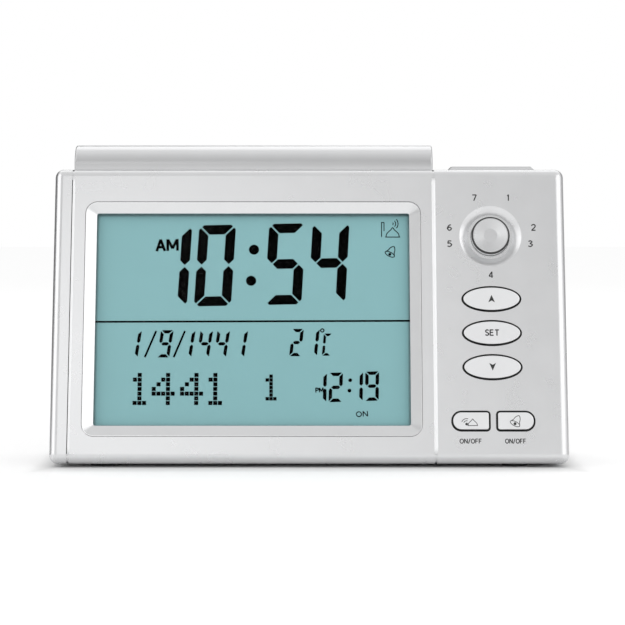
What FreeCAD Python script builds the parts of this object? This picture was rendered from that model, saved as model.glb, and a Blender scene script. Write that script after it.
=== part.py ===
import FreeCAD, Part
import math
import os
import re
import Sketcher
from FreeCAD import Placement, Rotation, Vector

# Desktop prayer clock with a leaning face: a wide display on the left, a selector and five keys
# on the right, a long snooze bar and a light key on top. Millimetres, +Z up, the front faces -Y,
# and the origin is on the table under the middle of the case.
#
# Three working frames are used. "face" lies on the leaning front: x to the right, y up the face,
# z out of it, with its origin at the lower front corner of the case. "top" lies on the top
# surface with its origin at the upper front corner. "back" lies on the rear wall as seen from
# behind, so its x runs to the viewer's left in front, and its y is the height above the table.

SIZES = (
    # case
    ("case_width", 196.4), ("base_depth", 60.0), ("case_height", 111.3), ("foot_height", 1.3),
    ("lean_angle", 14.0), ("wall", 2.2), ("edge_round", 3.2), ("hollow_round", 1.0),
    ("parting_depth", 23.0), ("groove_width", 0.8), ("groove_depth", 0.5),
    ("left_strip", 7.15), ("control_zone", 50.35),
    # running and seating clearances
    ("key_gap", 0.75), ("seat_gap", 0.3), ("trim_gap", 0.2), ("bar_gap", 0.4),
    # display
    ("bezel_side", 5.15), ("bezel_low", 10.9), ("bezel_top", 12.8), ("bezel_band", 4.2),
    ("bezel_drop", 1.4),
    ("bezel_corner", 4.6), ("window_corner", 0.9), ("bezel_rim", 0.25), ("bezel_edge", 1.2),
    ("flange_width", 2.5), ("window_overlap", 2.2), ("window_thick", 1.5),
    ("film_thick", 0.25), ("glass_thick", 1.1), ("glass_margin", 2.05), ("glass_margin_y", 1.5),
    ("ledge_width", 1.8), ("zebra_thick", 1.0), ("zebra_inset", 6.1), ("led_depth", 2.0),
    ("led_width", 5.0), ("led_pitch", 26.0),
    ("guide_thick", 2.5), ("holder_wall", 1.6), ("board_thick", 1.6),
    ("main_board_depth", 12.0), ("post_gap_x", 3.9), ("post_below", 14.4),
    ("post_above", 21.6), ("post_radius", 2.4), ("pilot_radius", 0.95), ("pilot_skin", 1.0),
    ("pilot_spare", 1.0), ("pilot_sink", 0.9), ("screw_radius", 0.9),
    ("screw_head_radius", 1.9), ("screw_head_height", 1.4), ("screw_length", 7.0),
    ("cross_width_share", 0.14), ("cross_reach_share", 0.6),
    # case screws
    ("boss_inset", 5.0), ("boss_low_y", 30.0), ("boss_top", 16.7), ("boss_radius", 3.2),
    ("boss_bore", 1.35), ("case_screw_radius", 1.3), ("case_screw_length", 12.0),
    ("case_head_radius", 2.7), ("case_head_height", 2.0), ("well_radius", 4.5),
    ("well_bore", 3.1), ("well_floor", 2.5),
    # controls on the face
    ("control_inset", 28.7), ("oval_width", 21.4), ("oval_height", 8.7), ("key_proud", 0.9),
    ("key_flange", 1.5), ("key_flange_thick", 1.2), ("oval_gap", 4.5), ("upper_share", 0.393),
    ("key_edge", 0.35), ("key_skin", 1.4),
    ("toggle_width", 13.4), ("toggle_height", 6.5), ("toggle_y", 16.65), ("toggle_offset", 8.45),
    ("toggle_large_round", 3.1), ("toggle_small_round", 0.8),
    ("key_board_depth", 9.0), ("key_board_width", 35.0), ("key_board_low", 7.0),
    ("key_board_top", 14.7), ("key_post_x", 13.0), ("key_post_low_y", 26.4),
    ("key_post_drop", 13.0),
    ("switch_side", 6.0), ("switch_height", 3.5), ("plunger_radius", 1.6),
    ("plunger_proud", 1.1), ("plunger_well", 2.4), ("plunger_root", 1.2), ("plunger_fit", 0.08),
    # selector
    ("selector_top", 26.3), ("dish_radius", 11.9), ("dish_floor_radius", 8.5),
    ("dish_drop", 1.8), ("dish_back", 2.0), ("dish_rim", 2.0), ("knob_radius", 7.35),
    ("knob_proud", 1.5), ("knob_chamfer", 0.55), ("knob_hollow", 0.4),
    ("knob_flat_radius", 2.6), ("knob_wall", 1.4), ("knob_tail", 3.2), ("hub_radius", 4.4),
    ("shaft_radius", 3.0), ("shaft_flat", 0.8), ("shaft_top", 0.4), ("shaft_fit", 0.06),
    ("knob_rim", 0.5), ("rotary_side", 12.4),
    ("rotary_height", 4.4), ("rotary_bush_radius", 3.9), ("rotary_bush_height", 0.6),
    # snooze bar and light key on top
    ("bar_front", 3.65), ("bar_depth", 17.0), ("bar_height", 9.7), ("bar_front_round", 8.4),
    ("bar_back_round", 4.0), ("bar_end_round", 0.7), ("bar_wall", 1.8), ("bar_lip", 1.2),
    ("light_inset", 27.4), ("light_width", 33.0), ("light_depth", 12.0),
    ("light_proud", 1.4), ("light_bevel", 1.25),
    ("top_board_drop", 12.0), ("top_board_depth", 11.0), ("top_row_y", 11.2),
    ("top_board_lap", 6.0), ("top_board_side", 3.8), ("snooze_post_radius", 2.2),
    ("top_post_step", 2.45), ("top_post_side", 6.6), ("top_post_radius", 1.8),
    ("top_pilot_radius", 0.8), ("snooze_switch_inset", 8.25),
    # battery bay, seen from behind
    ("bay_x", 20.0), ("bay_low", 26.0), ("cell_radius", 7.15), ("cell_length", 50.0),
    ("cell_nub", 0.9), ("cell_nub_radius", 2.6), ("cell_gap", 0.5), ("spring_room", 5.0),
    ("plate_room", 0.9), ("bay_wall", 1.5), ("door_thick", 1.8), ("rib_thick", 1.0),
    ("door_ledge", 2.0), ("door_tab", 2.2), ("latch_scoop", 6.0), ("ridge_half", 9.0),
    ("ridge_width", 0.8), ("ridge_pitch", 2.0), ("ridge_top", 1.5), ("tail_half", 1.0),
    ("tail_reach", 1.5), ("spring_wire", 0.35), ("spring_turns", 4.0),
    ("spring_radius", 3.2), ("contact_thick", 0.4), ("contact_side", 10.0),
    # speaker, seen from behind
    ("speaker_side", 35.8), ("speaker_lift", 5.05), ("speaker_radius", 25.0),
    ("rim_thick", 1.2),
    ("basket_depth", 9.0), ("basket_back_radius", 15.0), ("magnet_radius", 13.5),
    ("magnet_depth", 6.0), ("cone_thick", 0.5), ("cone_mouth", 20.8), ("speaker_screw_length", 2.6),
    ("cone_drop", 6.0), ("surround_radius", 22.4), ("surround_lap", 0.6), ("coil_radius", 6.5),
    ("grille_radius", 20.0), ("slot_width", 2.2), ("slot_pitch", 4.4),
    ("speaker_post_radius", 2.6), ("speaker_post_out", 28.0), ("clamp_thick", 1.2),
    ("clamp_radius", 3.5),
    # feet
    ("foot_radius", 5.0), ("foot_sink", 0.7), ("foot_side", 19.8), ("front_foot_back", 11.5),
    ("rear_foot_front", 9.0),
    # small electronics and wires
    ("chip_height", 1.6), ("capacitor_height", 4.5), ("capacitor_radius", 2.5),
    ("connector_width", 8.0), ("connector_depth", 5.0), ("connector_height", 3.5),
    ("sensor_inset", 8.3), ("sensor_y", 30.0), ("sensor_height", 2.2), ("sensor_radius", 1.3),
    ("ribbon_inset", 4.3), ("flat_cable_drop", 2.5), ("flat_cable_thick", 0.5),
    ("flat_cable_width", 12.0), ("wire_bend", 2.6), ("wire_pitch", 1.5), ("wire_radius", 0.65),
    ("speaker_lead_out", 8.0), ("speaker_lead_in", 5.0), ("speaker_lead_rise", 4.0),
    ("battery_lead_out", 7.0), ("battery_lead_in", 3.5), ("battery_lead_drop", 6.0),
)
ALIASES = {name for name, number in SIZES}

# Sizes and places that follow from the ones above.
RULES = {
    "face_length": "case_height/cos(lean_angle)",
    "panel_width": "case_width - left_strip - control_zone",
    "panel_end": "case_width/2 - control_zone",
    "display_x": "(left_strip - control_zone)/2",
    "bezel_width": "panel_width - 2*bezel_side",
    "bezel_height": "face_length - bezel_low - bezel_top",
    "display_y": "bezel_low + bezel_height/2",
    "zebra_length": "bezel_width - 2*bezel_band - 2*zebra_inset",
    "post_low_y": "display_y - post_below",
    "post_high_y": "display_y + post_above",
    "boss_high_y": "face_length - boss_top",
    "control_x": "case_width/2 - control_inset",
    "selector_y": "face_length - selector_top",
    "toggle_top": "toggle_y + toggle_height/2",
    "spare_height": "selector_y - dish_radius - toggle_top - 3*oval_height - 2*oval_gap",
    "up_y": "selector_y - dish_radius - upper_share*spare_height - oval_height/2",
    "oval_pitch": "oval_height + oval_gap",
    "key_board_high": "face_length - key_board_top",
    "key_post_high_y": "selector_y - key_post_drop",
    "light_x": "case_width/2 - light_inset",
    "snooze_switch_x": "panel_end - snooze_switch_inset",
    "top_board_left": "snooze_switch_x - top_board_lap",
    "top_board_right": "case_width/2 - top_board_side",
    "top_post_left": "panel_end + top_post_step",
    "top_post_right": "case_width/2 - top_post_side",
    "speaker_x": "speaker_side - case_width/2",
    "speaker_z": "foot_height + case_height/2 + speaker_lift",
    "foot_x": "case_width/2 - foot_side",
    "sensor_x": "sensor_inset - bezel_width/2",
    "ribbon_x": "bezel_width/2 - ribbon_inset",
}

doc = FreeCAD.newDocument("prayer_clock")
sheet = doc.addObject("Spreadsheet::Sheet", "Sizes")
for row, (alias, number) in enumerate(SIZES, start=1):
    sheet.set(f"A{row}", alias)
    sheet.set(f"B{row}", str(number))
    sheet.setAlias(f"B{row}", alias)
doc.recompute()

nodes = {}

# The leaning face and the underside meet this far ahead of the origin, before their edge is
# rounded. The rounding then ends at half the depth.
FACE_FOOT = "(base_depth/2 + edge_round*(1/tan(45 - lean_angle/2) - 1))"


def bound(text):
    """Write a rule with its sizes pointing at the sheet."""
    def written(match):
        word = match[0]
        if word in RULES:
            return f"({bound(RULES[word])})"
        return "Sizes." + word if word in ALIASES else word
    return re.sub(r"[a-z][a-z_]*[a-z]", written, str(text))


def number_of(text):
    """Work a rule out from the sheet as it stands."""
    return float(getattr(sheet.evalExpression(bound(text)), "Value",
                         sheet.evalExpression(bound(text))))


def tie(thing, path, rule):
    thing.setExpression(path, bound(rule))


def seat(thing, frame):
    """Place a piece in one of the working frames."""
    if frame == "face":
        thing.Placement = Placement(Vector(), Rotation(Vector(1, 0, 0), 76))
        tie(thing, "Placement.Rotation.Angle", "90 - lean_angle")
        tie(thing, "Placement.Base.y", f"-{FACE_FOOT}")
        tie(thing, "Placement.Base.z", "foot_height")
    if frame == "top":
        tie(thing, "Placement.Base.y", f"case_height*tan(lean_angle) - {FACE_FOOT}")
        tie(thing, "Placement.Base.z", "foot_height + case_height")
    if frame == "back":
        thing.Placement = Placement(Vector(), Rotation(Vector(0, 1, 1), 180))
        tie(thing, "Placement.Base.y", "base_depth/2")
    return thing


def new_body(name, frame="floor"):
    body = doc.addObject("PartDesign::Body", name)
    body.AllowCompound = True
    return seat(body, frame)


def finish(thing, label):
    """Register a finished sub-part under its own name."""
    thing.Label = label
    nodes[label] = thing
    return thing


def origin_plane(body, role):
    return next(item for item in body.Origin.OriginFeatures if item.Role == role)


def new_sketch(body, level="0", role="XY_Plane"):
    sketch = body.newObject("Sketcher::SketchObject", body.Name + "_outline")
    sketch.AttachmentSupport = [(origin_plane(body, role), "")]
    sketch.MapMode = "FlatFace"
    tie(sketch, "AttachmentOffset.Base.z", level)
    return sketch


def pin_point(sketch, item, end, x, y):
    """Fix one point of a sketch by two rules."""
    for kind, rule in (("DistanceX", x), ("DistanceY", y)):
        index = sketch.addConstraint(
            Sketcher.Constraint(kind, -1, 1, item, end, number_of(rule)))
        tie(sketch, f"Constraints[{index}]", rule)


def polygon(sketch, corners):
    points = [Vector(number_of(x), number_of(y), 0) for x, y in corners]
    first = sketch.GeometryCount
    count = len(points)
    for i in range(count):
        sketch.addGeometry(Part.LineSegment(points[i], points[(i + 1) % count]), False)
    for i in range(count):
        sketch.addConstraint(Sketcher.Constraint(
            "Coincident", first + i, 2, first + (i + 1) % count, 1))
    for i, (x, y) in enumerate(corners):
        pin_point(sketch, first + i, 1, x, y)
    return sketch


def circle(sketch, x, y, radius):
    centre = Vector(number_of(x), number_of(y), 0)
    item = sketch.addGeometry(Part.Circle(centre, Vector(0, 0, 1), number_of(radius)), False)
    pin_point(sketch, item, 3, x, y)
    index = sketch.addConstraint(Sketcher.Constraint("Radius", item, number_of(radius)))
    tie(sketch, f"Constraints[{index}]", radius)
    return sketch


def oval(sketch, x, y, width, height):
    """An ellipse, held by the ends of its two axes."""
    cx, cy = number_of(x), number_of(y)
    a, b = number_of(width) / 2, number_of(height) / 2
    item = sketch.addGeometry(
        Part.Ellipse(Vector(cx + a, cy, 0), Vector(cx, cy + b, 0), Vector(cx, cy, 0)), False)
    sketch.exposeInternalGeometry(item)
    pin_point(sketch, item, 3, x, y)
    for axis, rule in ((item + 1, width), (item + 2, height)):
        index = sketch.addConstraint(Sketcher.Constraint("Distance", axis, number_of(rule)))
        tie(sketch, f"Constraints[{index}]", rule)
    return sketch


def rounded(sketch, x_low, y_low, x_high, y_high, radii):
    """A rectangle with a rounding at each corner, anticlockwise from the lower left."""
    xl, yl, xh, yh = (number_of(rule) for rule in (x_low, y_low, x_high, y_high))
    r = [number_of(rule) for rule in radii]
    first = sketch.GeometryCount
    sides = (((xl + r[0], yl), (xh - r[1], yl)), ((xh, yl + r[1]), (xh, yh - r[2])),
             ((xh - r[2], yh), (xl + r[3], yh)), ((xl, yh - r[3]), (xl, yl + r[0])))
    centres = ((xh - r[1], yl + r[1]), (xh - r[2], yh - r[2]), (xl + r[3], yh - r[3]),
               (xl + r[0], yl + r[0]))
    turn_radii = (r[1], r[2], r[3], r[0])
    for k, (start, end) in enumerate(sides):
        sketch.addGeometry(Part.LineSegment(Vector(*start, 0), Vector(*end, 0)), False)
        ring = Part.Circle(Vector(*centres[k], 0), Vector(0, 0, 1), turn_radii[k])
        angle = math.radians(90 * k - 90)
        sketch.addGeometry(Part.ArcOfCircle(ring, angle, angle + math.pi / 2), False)
    for k in range(4):
        line, arc = first + 2 * k, first + 2 * k + 1
        following = first + (2 * k + 2) % 8
        sketch.addConstraint(Sketcher.Constraint("Tangent", line, 2, arc, 1))
        sketch.addConstraint(Sketcher.Constraint("Tangent", arc, 2, following, 1))
        direction = "Vertical" if k % 2 else "Horizontal"
        sketch.addConstraint(Sketcher.Constraint(direction, line))
        rule = radii[(k + 1) % 4]
        index = sketch.addConstraint(Sketcher.Constraint("Radius", arc, number_of(rule)))
        tie(sketch, f"Constraints[{index}]", rule)
    for item, kind, rule in ((0, "DistanceY", y_low), (2, "DistanceX", x_high),
                             (4, "DistanceY", y_high), (6, "DistanceX", x_low)):
        index = sketch.addConstraint(
            Sketcher.Constraint(kind, -1, 1, first + item, 1, number_of(rule)))
        tie(sketch, f"Constraints[{index}]", rule)
    return sketch


def pad(body, sketch, length, both_ways=False):
    feature = body.newObject("PartDesign::Pad", body.Name + "_pad")
    feature.Profile = sketch
    tie(feature, "Length", length)
    feature.Midplane = both_ways
    return feature


def pocket(body, sketch, length, upward=False):
    """Cut from the sketch's level, downward unless told otherwise."""
    feature = body.newObject("PartDesign::Pocket", body.Name + "_pocket")
    feature.Profile = sketch
    tie(feature, "Length", length)
    feature.Reversed = upward
    return feature


def block(body, x, y, z, cut=False):
    """A box between three pairs of rules, added or cut."""
    kind = "PartDesign::SubtractiveBox" if cut else "PartDesign::AdditiveBox"
    feature = body.newObject(kind, body.Name + "_block")
    for size, axis, (low, high) in (("Length", "x", x), ("Width", "y", y), ("Height", "z", z)):
        tie(feature, size, f"({high}) - ({low})")
        tie(feature, f"Placement.Base.{axis}", low)
    return feature


def rod(body, x, y, z, radius, cut=False):
    """A round bar along z from z[0] to z[1], added or cut."""
    kind = "PartDesign::SubtractiveCylinder" if cut else "PartDesign::AdditiveCylinder"
    feature = body.newObject(kind, body.Name + "_rod")
    tie(feature, "Radius", radius)
    tie(feature, "Height", f"({z[1]}) - ({z[0]})")
    tie(feature, "Placement.Base.x", x)
    tie(feature, "Placement.Base.y", y)
    tie(feature, "Placement.Base.z", z[0])
    return feature


def taper(body, x, y, z, low_radius, high_radius, cut=False):
    """A cone along z from z[0] to z[1], added or cut."""
    kind = "PartDesign::SubtractiveCone" if cut else "PartDesign::AdditiveCone"
    feature = body.newObject(kind, body.Name + "_taper")
    tie(feature, "Radius1", low_radius)
    tie(feature, "Radius2", high_radius)
    tie(feature, "Height", f"({z[1]}) - ({z[0]})")
    tie(feature, "Placement.Base.x", x)
    tie(feature, "Placement.Base.y", y)
    tie(feature, "Placement.Base.z", z[0])
    return feature


def side_rod(body, x, y, z, radius, cut=False):
    """A round bar along x from x[0] to x[1]."""
    kind = "PartDesign::SubtractiveCylinder" if cut else "PartDesign::AdditiveCylinder"
    feature = body.newObject(kind, body.Name + "_rod")
    feature.Placement = Placement(Vector(), Rotation(Vector(0, 1, 0), 90))
    tie(feature, "Radius", radius)
    tie(feature, "Height", f"({x[1]}) - ({x[0]})")
    tie(feature, "Placement.Base.x", x[0])
    tie(feature, "Placement.Base.y", y)
    tie(feature, "Placement.Base.z", z)
    return feature


def blend_edges(body, radius, wanted, kind="PartDesign::Fillet"):
    """Round or bevel the edges of the last feature that pass a test."""
    doc.recompute()
    last = body.Tip
    names = [f"Edge{i}" for i, edge in enumerate(last.Shape.Edges, start=1) if wanted(edge)]
    feature = body.newObject(kind, body.Name + "_edge")
    feature.Base = (last, names)
    tie(feature, "Radius" if kind.endswith("Fillet") else "Size", radius)
    return feature


def at_height(level):
    """A test for edges that lie flat at one height of the body's own frame."""
    height = number_of(level)
    return lambda edge: all(abs(vertex.Z - height) < 1e-4 for vertex in edge.Vertexes)


def along_x(y, z):
    """A test for the straight edge along x at one place."""
    spot = (number_of(y), number_of(z))
    return lambda edge: len(edge.Vertexes) == 2 and all(
        abs(vertex.Y - spot[0]) < 1e-4 and abs(vertex.Z - spot[1]) < 1e-4
        for vertex in edge.Vertexes)


def joined(kind, name, base, *tools):
    """A union, difference or overlap of finished shapes."""
    if kind == "Cut" and len(tools) > 1:
        tools = (joined("MultiFuse", name + "_tools", *tools),)
    result = doc.addObject("Part::" + kind, name)
    if kind == "MultiFuse":
        result.Shapes = [base, *tools]
    else:
        result.Base = base
        result.Tool = tools[0]
    return result


def helix_spring(start, radius, wire, turns, length):
    """A coil spring along x with its ends flat on the plates."""
    pitch = length / turns
    quarter = math.pi / 2
    count = int(turns * 4)
    step = pitch / 4

    def spot(k):
        angle = k * quarter
        return start + Vector(k * step, radius * math.cos(angle), radius * math.sin(angle))

    edges = []
    for k in range(count):
        angle = (k + 0.5) * quarter
        middle = start + Vector((k + 0.5) * step, radius * math.cos(angle),
                                radius * math.sin(angle))
        edges.append(Part.Arc(spot(k), middle, spot(k + 1)).toShape())
    path = Part.Wire(edges)
    section = Part.Wire(Part.makeCircle(wire, spot(0), edges[0].tangentAt(edges[0].FirstParameter)))
    return path.makePipeShell([section], True, False)


def bent_wire(points, radius, bend):
    """A round wire along straight runs joined by arcs."""
    corners = [Vector(*point) for point in points]
    edges = []
    here = corners[0]
    for k in range(1, len(corners) - 1):
        back = (corners[k - 1] - corners[k]).normalize()
        ahead = (corners[k + 1] - corners[k]).normalize()
        half = back.getAngle(ahead) / 2
        reach = bend / math.tan(half)
        start = corners[k] + back * reach
        end = corners[k] + ahead * reach
        inward = (back + ahead).normalize()
        middle = corners[k] + inward * (bend / math.sin(half) - bend)
        edges.append(Part.LineSegment(here, start).toShape())
        edges.append(Part.Arc(start, middle, end).toShape())
        here = end
    edges.append(Part.LineSegment(here, corners[-1]).toShape())
    path = Part.Wire(edges)
    heading = (corners[1] - corners[0]).normalize()
    section = Part.Wire(Part.makeCircle(radius, corners[0], heading))
    return path.makePipeShell([section], True, False)


# Case

CASE_SCREWS = tuple((f"{side}*(case_width/2 - boss_inset)", height)
                    for side in (-1, 1) for height in ("boss_low_y", "boss_high_y"))
BOARD_POSTS = tuple((f"display_x + {side}*(bezel_width/2 + flange_width + post_gap_x)", height)
                    for side in (-1, 1) for height in ("post_low_y", "post_high_y"))
KEY_POSTS = tuple((f"control_x + {side}*key_post_x", height)
                  for side in (-1, 1) for height in ("key_post_low_y", "key_post_high_y"))
TOP_POSTS = (("top_post_left", "top_row_y"), ("top_post_right", "top_row_y"))
BAR_BACK = "bar_front + bar_depth"
BAR_ENDS = tuple(f"(display_x + {side}*panel_width/2)" for side in (-1, 1))
BAY_LENGTH = "(cell_length + cell_nub + spring_room + plate_room)"
BAY_LOW_X = f"(bay_x - {BAY_LENGTH}/2)"
BAY_HIGH_X = f"(bay_x + {BAY_LENGTH}/2)"
BAY_TOP = "(bay_low + 6*cell_radius + 4*cell_gap)"
BAY_FLOOR = "(door_thick + cell_gap + 2*cell_radius + seat_gap)"


def case_form(name, inset, rounding):
    """The wedge of the case, drawn in by an inset on every side."""
    body = new_body(name)
    sketch = new_sketch(body, role="YZ_Plane")
    front = f"-{FACE_FOOT} + ({inset})/cos(lean_angle)"
    low, high = f"foot_height + ({inset})", f"foot_height + case_height - ({inset})"
    rear = f"base_depth/2 - ({inset})"
    polygon(sketch, ((f"{front} + ({inset})*tan(lean_angle)", low), (rear, low), (rear, high),
                     (f"{front} + (case_height - ({inset}))*tan(lean_angle)", high)))
    pad(body, sketch, f"case_width - 2*({inset})", both_ways=True)
    blend_edges(body, rounding, lambda edge: True)
    return body


def bezel_outline(sketch, grow, corner):
    """A rectangle round the bezel, larger on each side by a rule."""
    return rounded(sketch, f"display_x - bezel_width/2 - ({grow})",
                   f"display_y - bezel_height/2 - ({grow})",
                   f"display_x + bezel_width/2 + ({grow})",
                   f"display_y + bezel_height/2 + ({grow})", (corner,) * 4)


def oval_outline(sketch, y, grow):
    return oval(sketch, "control_x", y, f"oval_width + 2*({grow})", f"oval_height + 2*({grow})")


def toggle_outline(sketch, side, grow):
    """A key with its outer end well rounded and its inner end nearly square."""
    middle = f"control_x + {side}*toggle_offset"
    large, small = (f"max({size} + ({grow}); trim_gap)"
                    for size in ("toggle_large_round", "toggle_small_round"))
    radii = (large, small, small, large) if side < 0 else (small, large, large, small)
    return rounded(sketch, f"{middle} - toggle_width/2 - ({grow})",
                   f"toggle_y - toggle_height/2 - ({grow})",
                   f"{middle} + toggle_width/2 + ({grow})",
                   f"toggle_y + toggle_height/2 + ({grow})", radii)


OVAL_KEYS = (("up_key", "up_y"), ("set_key", "(up_y - oval_pitch)"),
             ("down_key", "(up_y - 2*oval_pitch)"))
TOGGLE_KEYS = (("call_key", -1), ("alarm_key", 1))


def face_openings():
    """Everything that is cut through the leaning front."""
    bezel = new_body("bezel_opening", "face")
    pad(bezel, bezel_outline(new_sketch(bezel, "-2*wall"), "trim_gap",
                             "bezel_corner + trim_gap"), "3*wall")
    cutters = [bezel]
    for name, y in OVAL_KEYS:
        body = new_body(name + "_opening", "face")
        pad(body, oval_outline(new_sketch(body, "-2*wall"), y, "key_gap"), "3*wall")
        cutters.append(body)
    for name, side in TOGGLE_KEYS:
        body = new_body(name + "_opening", "face")
        pad(body, toggle_outline(new_sketch(body, "-2*wall"), side, "key_gap"), "3*wall")
        cutters.append(body)
    dish = new_body("dish_opening", "face")
    taper(dish, "control_x", "selector_y", ("-dish_drop", "0"), "dish_floor_radius",
          "dish_radius")
    rod(dish, "control_x", "selector_y", ("-dish_drop - 2*dish_back", "-dish_drop + wall/2"),
        "knob_radius + key_gap")
    cutters.append(dish)
    screws = new_body("front_pilots", "face")
    for x, y in CASE_SCREWS:
        rod(screws, x, y, ("-2*parting_depth",
                           "case_screw_length - parting_depth - well_floor + pilot_spare"), "boss_bore")
    for x, y in BOARD_POSTS:
        rod(screws, x, y, ("-2*main_board_depth", "-2*wall"), "pilot_radius")
    for x, y in KEY_POSTS:
        rod(screws, x, y, ("-2*key_board_depth", "-wall - pilot_skin"), "pilot_radius")
    cutters.append(screws)
    return cutters


def top_openings():
    """The wells of the snooze bar and of the light key."""
    body = new_body("top_wells", "top")
    block(body, (f"{BAR_ENDS[0]} - bar_gap", f"{BAR_ENDS[1]} + bar_gap"),
          ("bar_front - bar_gap", f"{BAR_BACK} + bar_gap"), ("-1.5*wall", "wall"))
    block(body, ("light_x - light_width/2 - seat_gap", "light_x + light_width/2 + seat_gap"),
          ("top_row_y - light_depth/2 - seat_gap", "top_row_y + light_depth/2 + seat_gap"),
          ("-2*wall", "wall"))
    for x, y in TOP_POSTS:
        rod(body, x, y, ("-2*top_board_drop", "-wall - pilot_skin"), "top_pilot_radius")
    return body


def front_supports():
    """Bosses and posts inside the front half."""
    face = new_body("face_bosses", "face")
    for x, y in CASE_SCREWS:
        rod(face, x, y, ("-parting_depth", "-wall/2"), "boss_radius")
    for x, y in BOARD_POSTS:
        rod(face, x, y, ("-main_board_depth", "-wall/2"), "post_radius")
    for x, y in KEY_POSTS:
        rod(face, x, y, ("-key_board_depth", "-wall/2"), "post_radius")
    rod(face, "control_x", "selector_y", ("-dish_drop - dish_back", "-wall/2"),
        "dish_radius + dish_rim")
    top = new_body("top_bosses", "top")
    for x, y in TOP_POSTS:
        rod(top, x, y, ("-top_board_drop", "-wall/2"), "top_post_radius")
    return [face, top]


def foot_recesses(name, grow, y_rules):
    body = new_body(name)
    for y in y_rules:
        for side in (-1, 1):
            rod(body, f"{side}*foot_x", y, ("0", "foot_height + foot_sink"),
                f"foot_radius + ({grow})")
    return body


FRONT_FEET = "front_foot_back - base_depth/2"
REAR_FEET = "base_depth/2 - rear_foot_front"


def panel_grooves(groove_floor):
    """Two narrow grooves that run round the front half beside the display panel."""
    slabs = new_body("groove_slabs")
    for end in BAR_ENDS:
        block(slabs, (f"{end} - groove_width/2", f"{end} + groove_width/2"),
              ("-base_depth", "base_depth"), ("-wall", "foot_height + case_height + wall"))
    return joined("Cut", "grooves", slabs, groove_floor)


def half_space(name, low, high):
    body = new_body(name, "face")
    block(body, ("-case_width", "case_width"), ("-case_height", "2*case_height"), (low, high))
    return body


def front_housing():
    shell = joined("Cut", "front_shell", case_form("front_outside", "0", "edge_round"),
                   case_form("front_inside", "wall", "hollow_round"))
    filled = joined("MultiFuse", "front_filled", shell, *front_supports())
    kept = joined("Common", "front_half", filled,
                  half_space("front_space", "-parting_depth", "case_height"))
    grooves = panel_grooves(case_form("groove_floor", "groove_depth",
                                      "edge_round - groove_depth"))
    finish(joined("Cut", "front_housing", kept, grooves, *face_openings(), top_openings(),
                  foot_recesses("front_foot_seats", "trim_gap", (FRONT_FEET,))),
           "front_housing")


def speaker_spots():
    spots = []
    for k in range(3):
        angle = math.radians(90 + 120 * k)
        spots.append((f"speaker_x + speaker_post_out*{math.cos(angle):.6f}",
                      f"speaker_z + speaker_post_out*{math.sin(angle):.6f}"))
    return spots


def rear_supports():
    """Screw wells, the battery bay and the speaker posts inside the rear half."""
    wells = new_body("screw_wells", "face")
    for x, y in CASE_SCREWS:
        rod(wells, x, y, ("-2*base_depth", "-parting_depth"), "well_radius")
    outside = case_form("well_trim", "wall/2", "hollow_round")
    trimmed = joined("Common", "trimmed_wells", wells, outside)
    bay = new_body("bay_walls", "back")
    block(bay, (f"{BAY_LOW_X} - bay_wall", f"{BAY_HIGH_X} + bay_wall"),
          ("bay_low - bay_wall", f"{BAY_TOP} + bay_wall"),
          (f"-{BAY_FLOOR} - bay_wall", "-wall/2"))
    block(bay, (f"{BAY_LOW_X} - bay_wall - door_ledge", f"{BAY_HIGH_X} + bay_wall + door_ledge"),
          ("bay_low - bay_wall - door_ledge", f"{BAY_TOP} + bay_wall + door_ledge"),
          ("-door_thick - bay_wall", "-wall/2"))
    posts = new_body("speaker_posts", "back")
    for x, y in speaker_spots():
        rod(posts, x, y, ("-wall - rim_thick", "-wall/2"), "speaker_post_radius")
    return [trimmed, bay, posts]


def rear_openings():
    wells = new_body("well_bores", "face")
    for x, y in CASE_SCREWS:
        rod(wells, x, y, ("-2*base_depth", "-parting_depth - well_floor"), "well_bore")
        rod(wells, x, y, ("-parting_depth - 2*well_floor", "0"), "case_screw_radius + seat_gap")
    bay = new_body("bay_hollow", "back")
    block(bay, (BAY_LOW_X, BAY_HIGH_X), ("bay_low", BAY_TOP), (f"-{BAY_FLOOR}", "wall"))
    block(bay, (f"{BAY_LOW_X} - door_ledge", f"{BAY_HIGH_X} + door_ledge"),
          ("bay_low - door_ledge", f"{BAY_TOP} + door_ledge"), ("-door_thick", "wall"))
    rod(bay, "bay_x", f"{BAY_TOP} + door_ledge", ("-door_thick", "wall"), "latch_scoop")
    for x_low, row in TAIL_SPOTS:
        block(bay, (f"{x_low} - trim_gap", f"{x_low} + contact_thick + trim_gap"),
              (f"{cell_y(row)} - tail_half - trim_gap", f"{cell_y(row)} + tail_half + trim_gap"),
              (f"-{BAY_FLOOR} - 2*bay_wall", f"-{BAY_FLOOR} + wall/2"))
    grille = new_body("grille_slots", "back")
    steps = int((number_of("grille_radius") - number_of("slot_width")) / number_of("slot_pitch"))
    for k in range(-steps, steps + 1):
        reach = f"sqrt(grille_radius^2 - ({k}*slot_pitch)^2)"
        block(grille, (f"speaker_x + {k}*slot_pitch - slot_width/2",
                       f"speaker_x + {k}*slot_pitch + slot_width/2"),
              (f"speaker_z - {reach}", f"speaker_z + {reach}"), ("-2*wall", "wall"))
    pilots = new_body("speaker_pilots", "back")
    for x, y in speaker_spots():
        rod(pilots, x, y, ("-2*wall - rim_thick", "pilot_sink - wall"), "pilot_radius")
    return [wells, bay, grille, pilots]


def cell_y(row):
    return f"(bay_low + cell_gap + cell_radius + {row}*(2*cell_radius + cell_gap))"


TAIL_SPOTS = ((f"({BAY_HIGH_X} - contact_thick)", 0), (BAY_LOW_X, 2))


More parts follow.
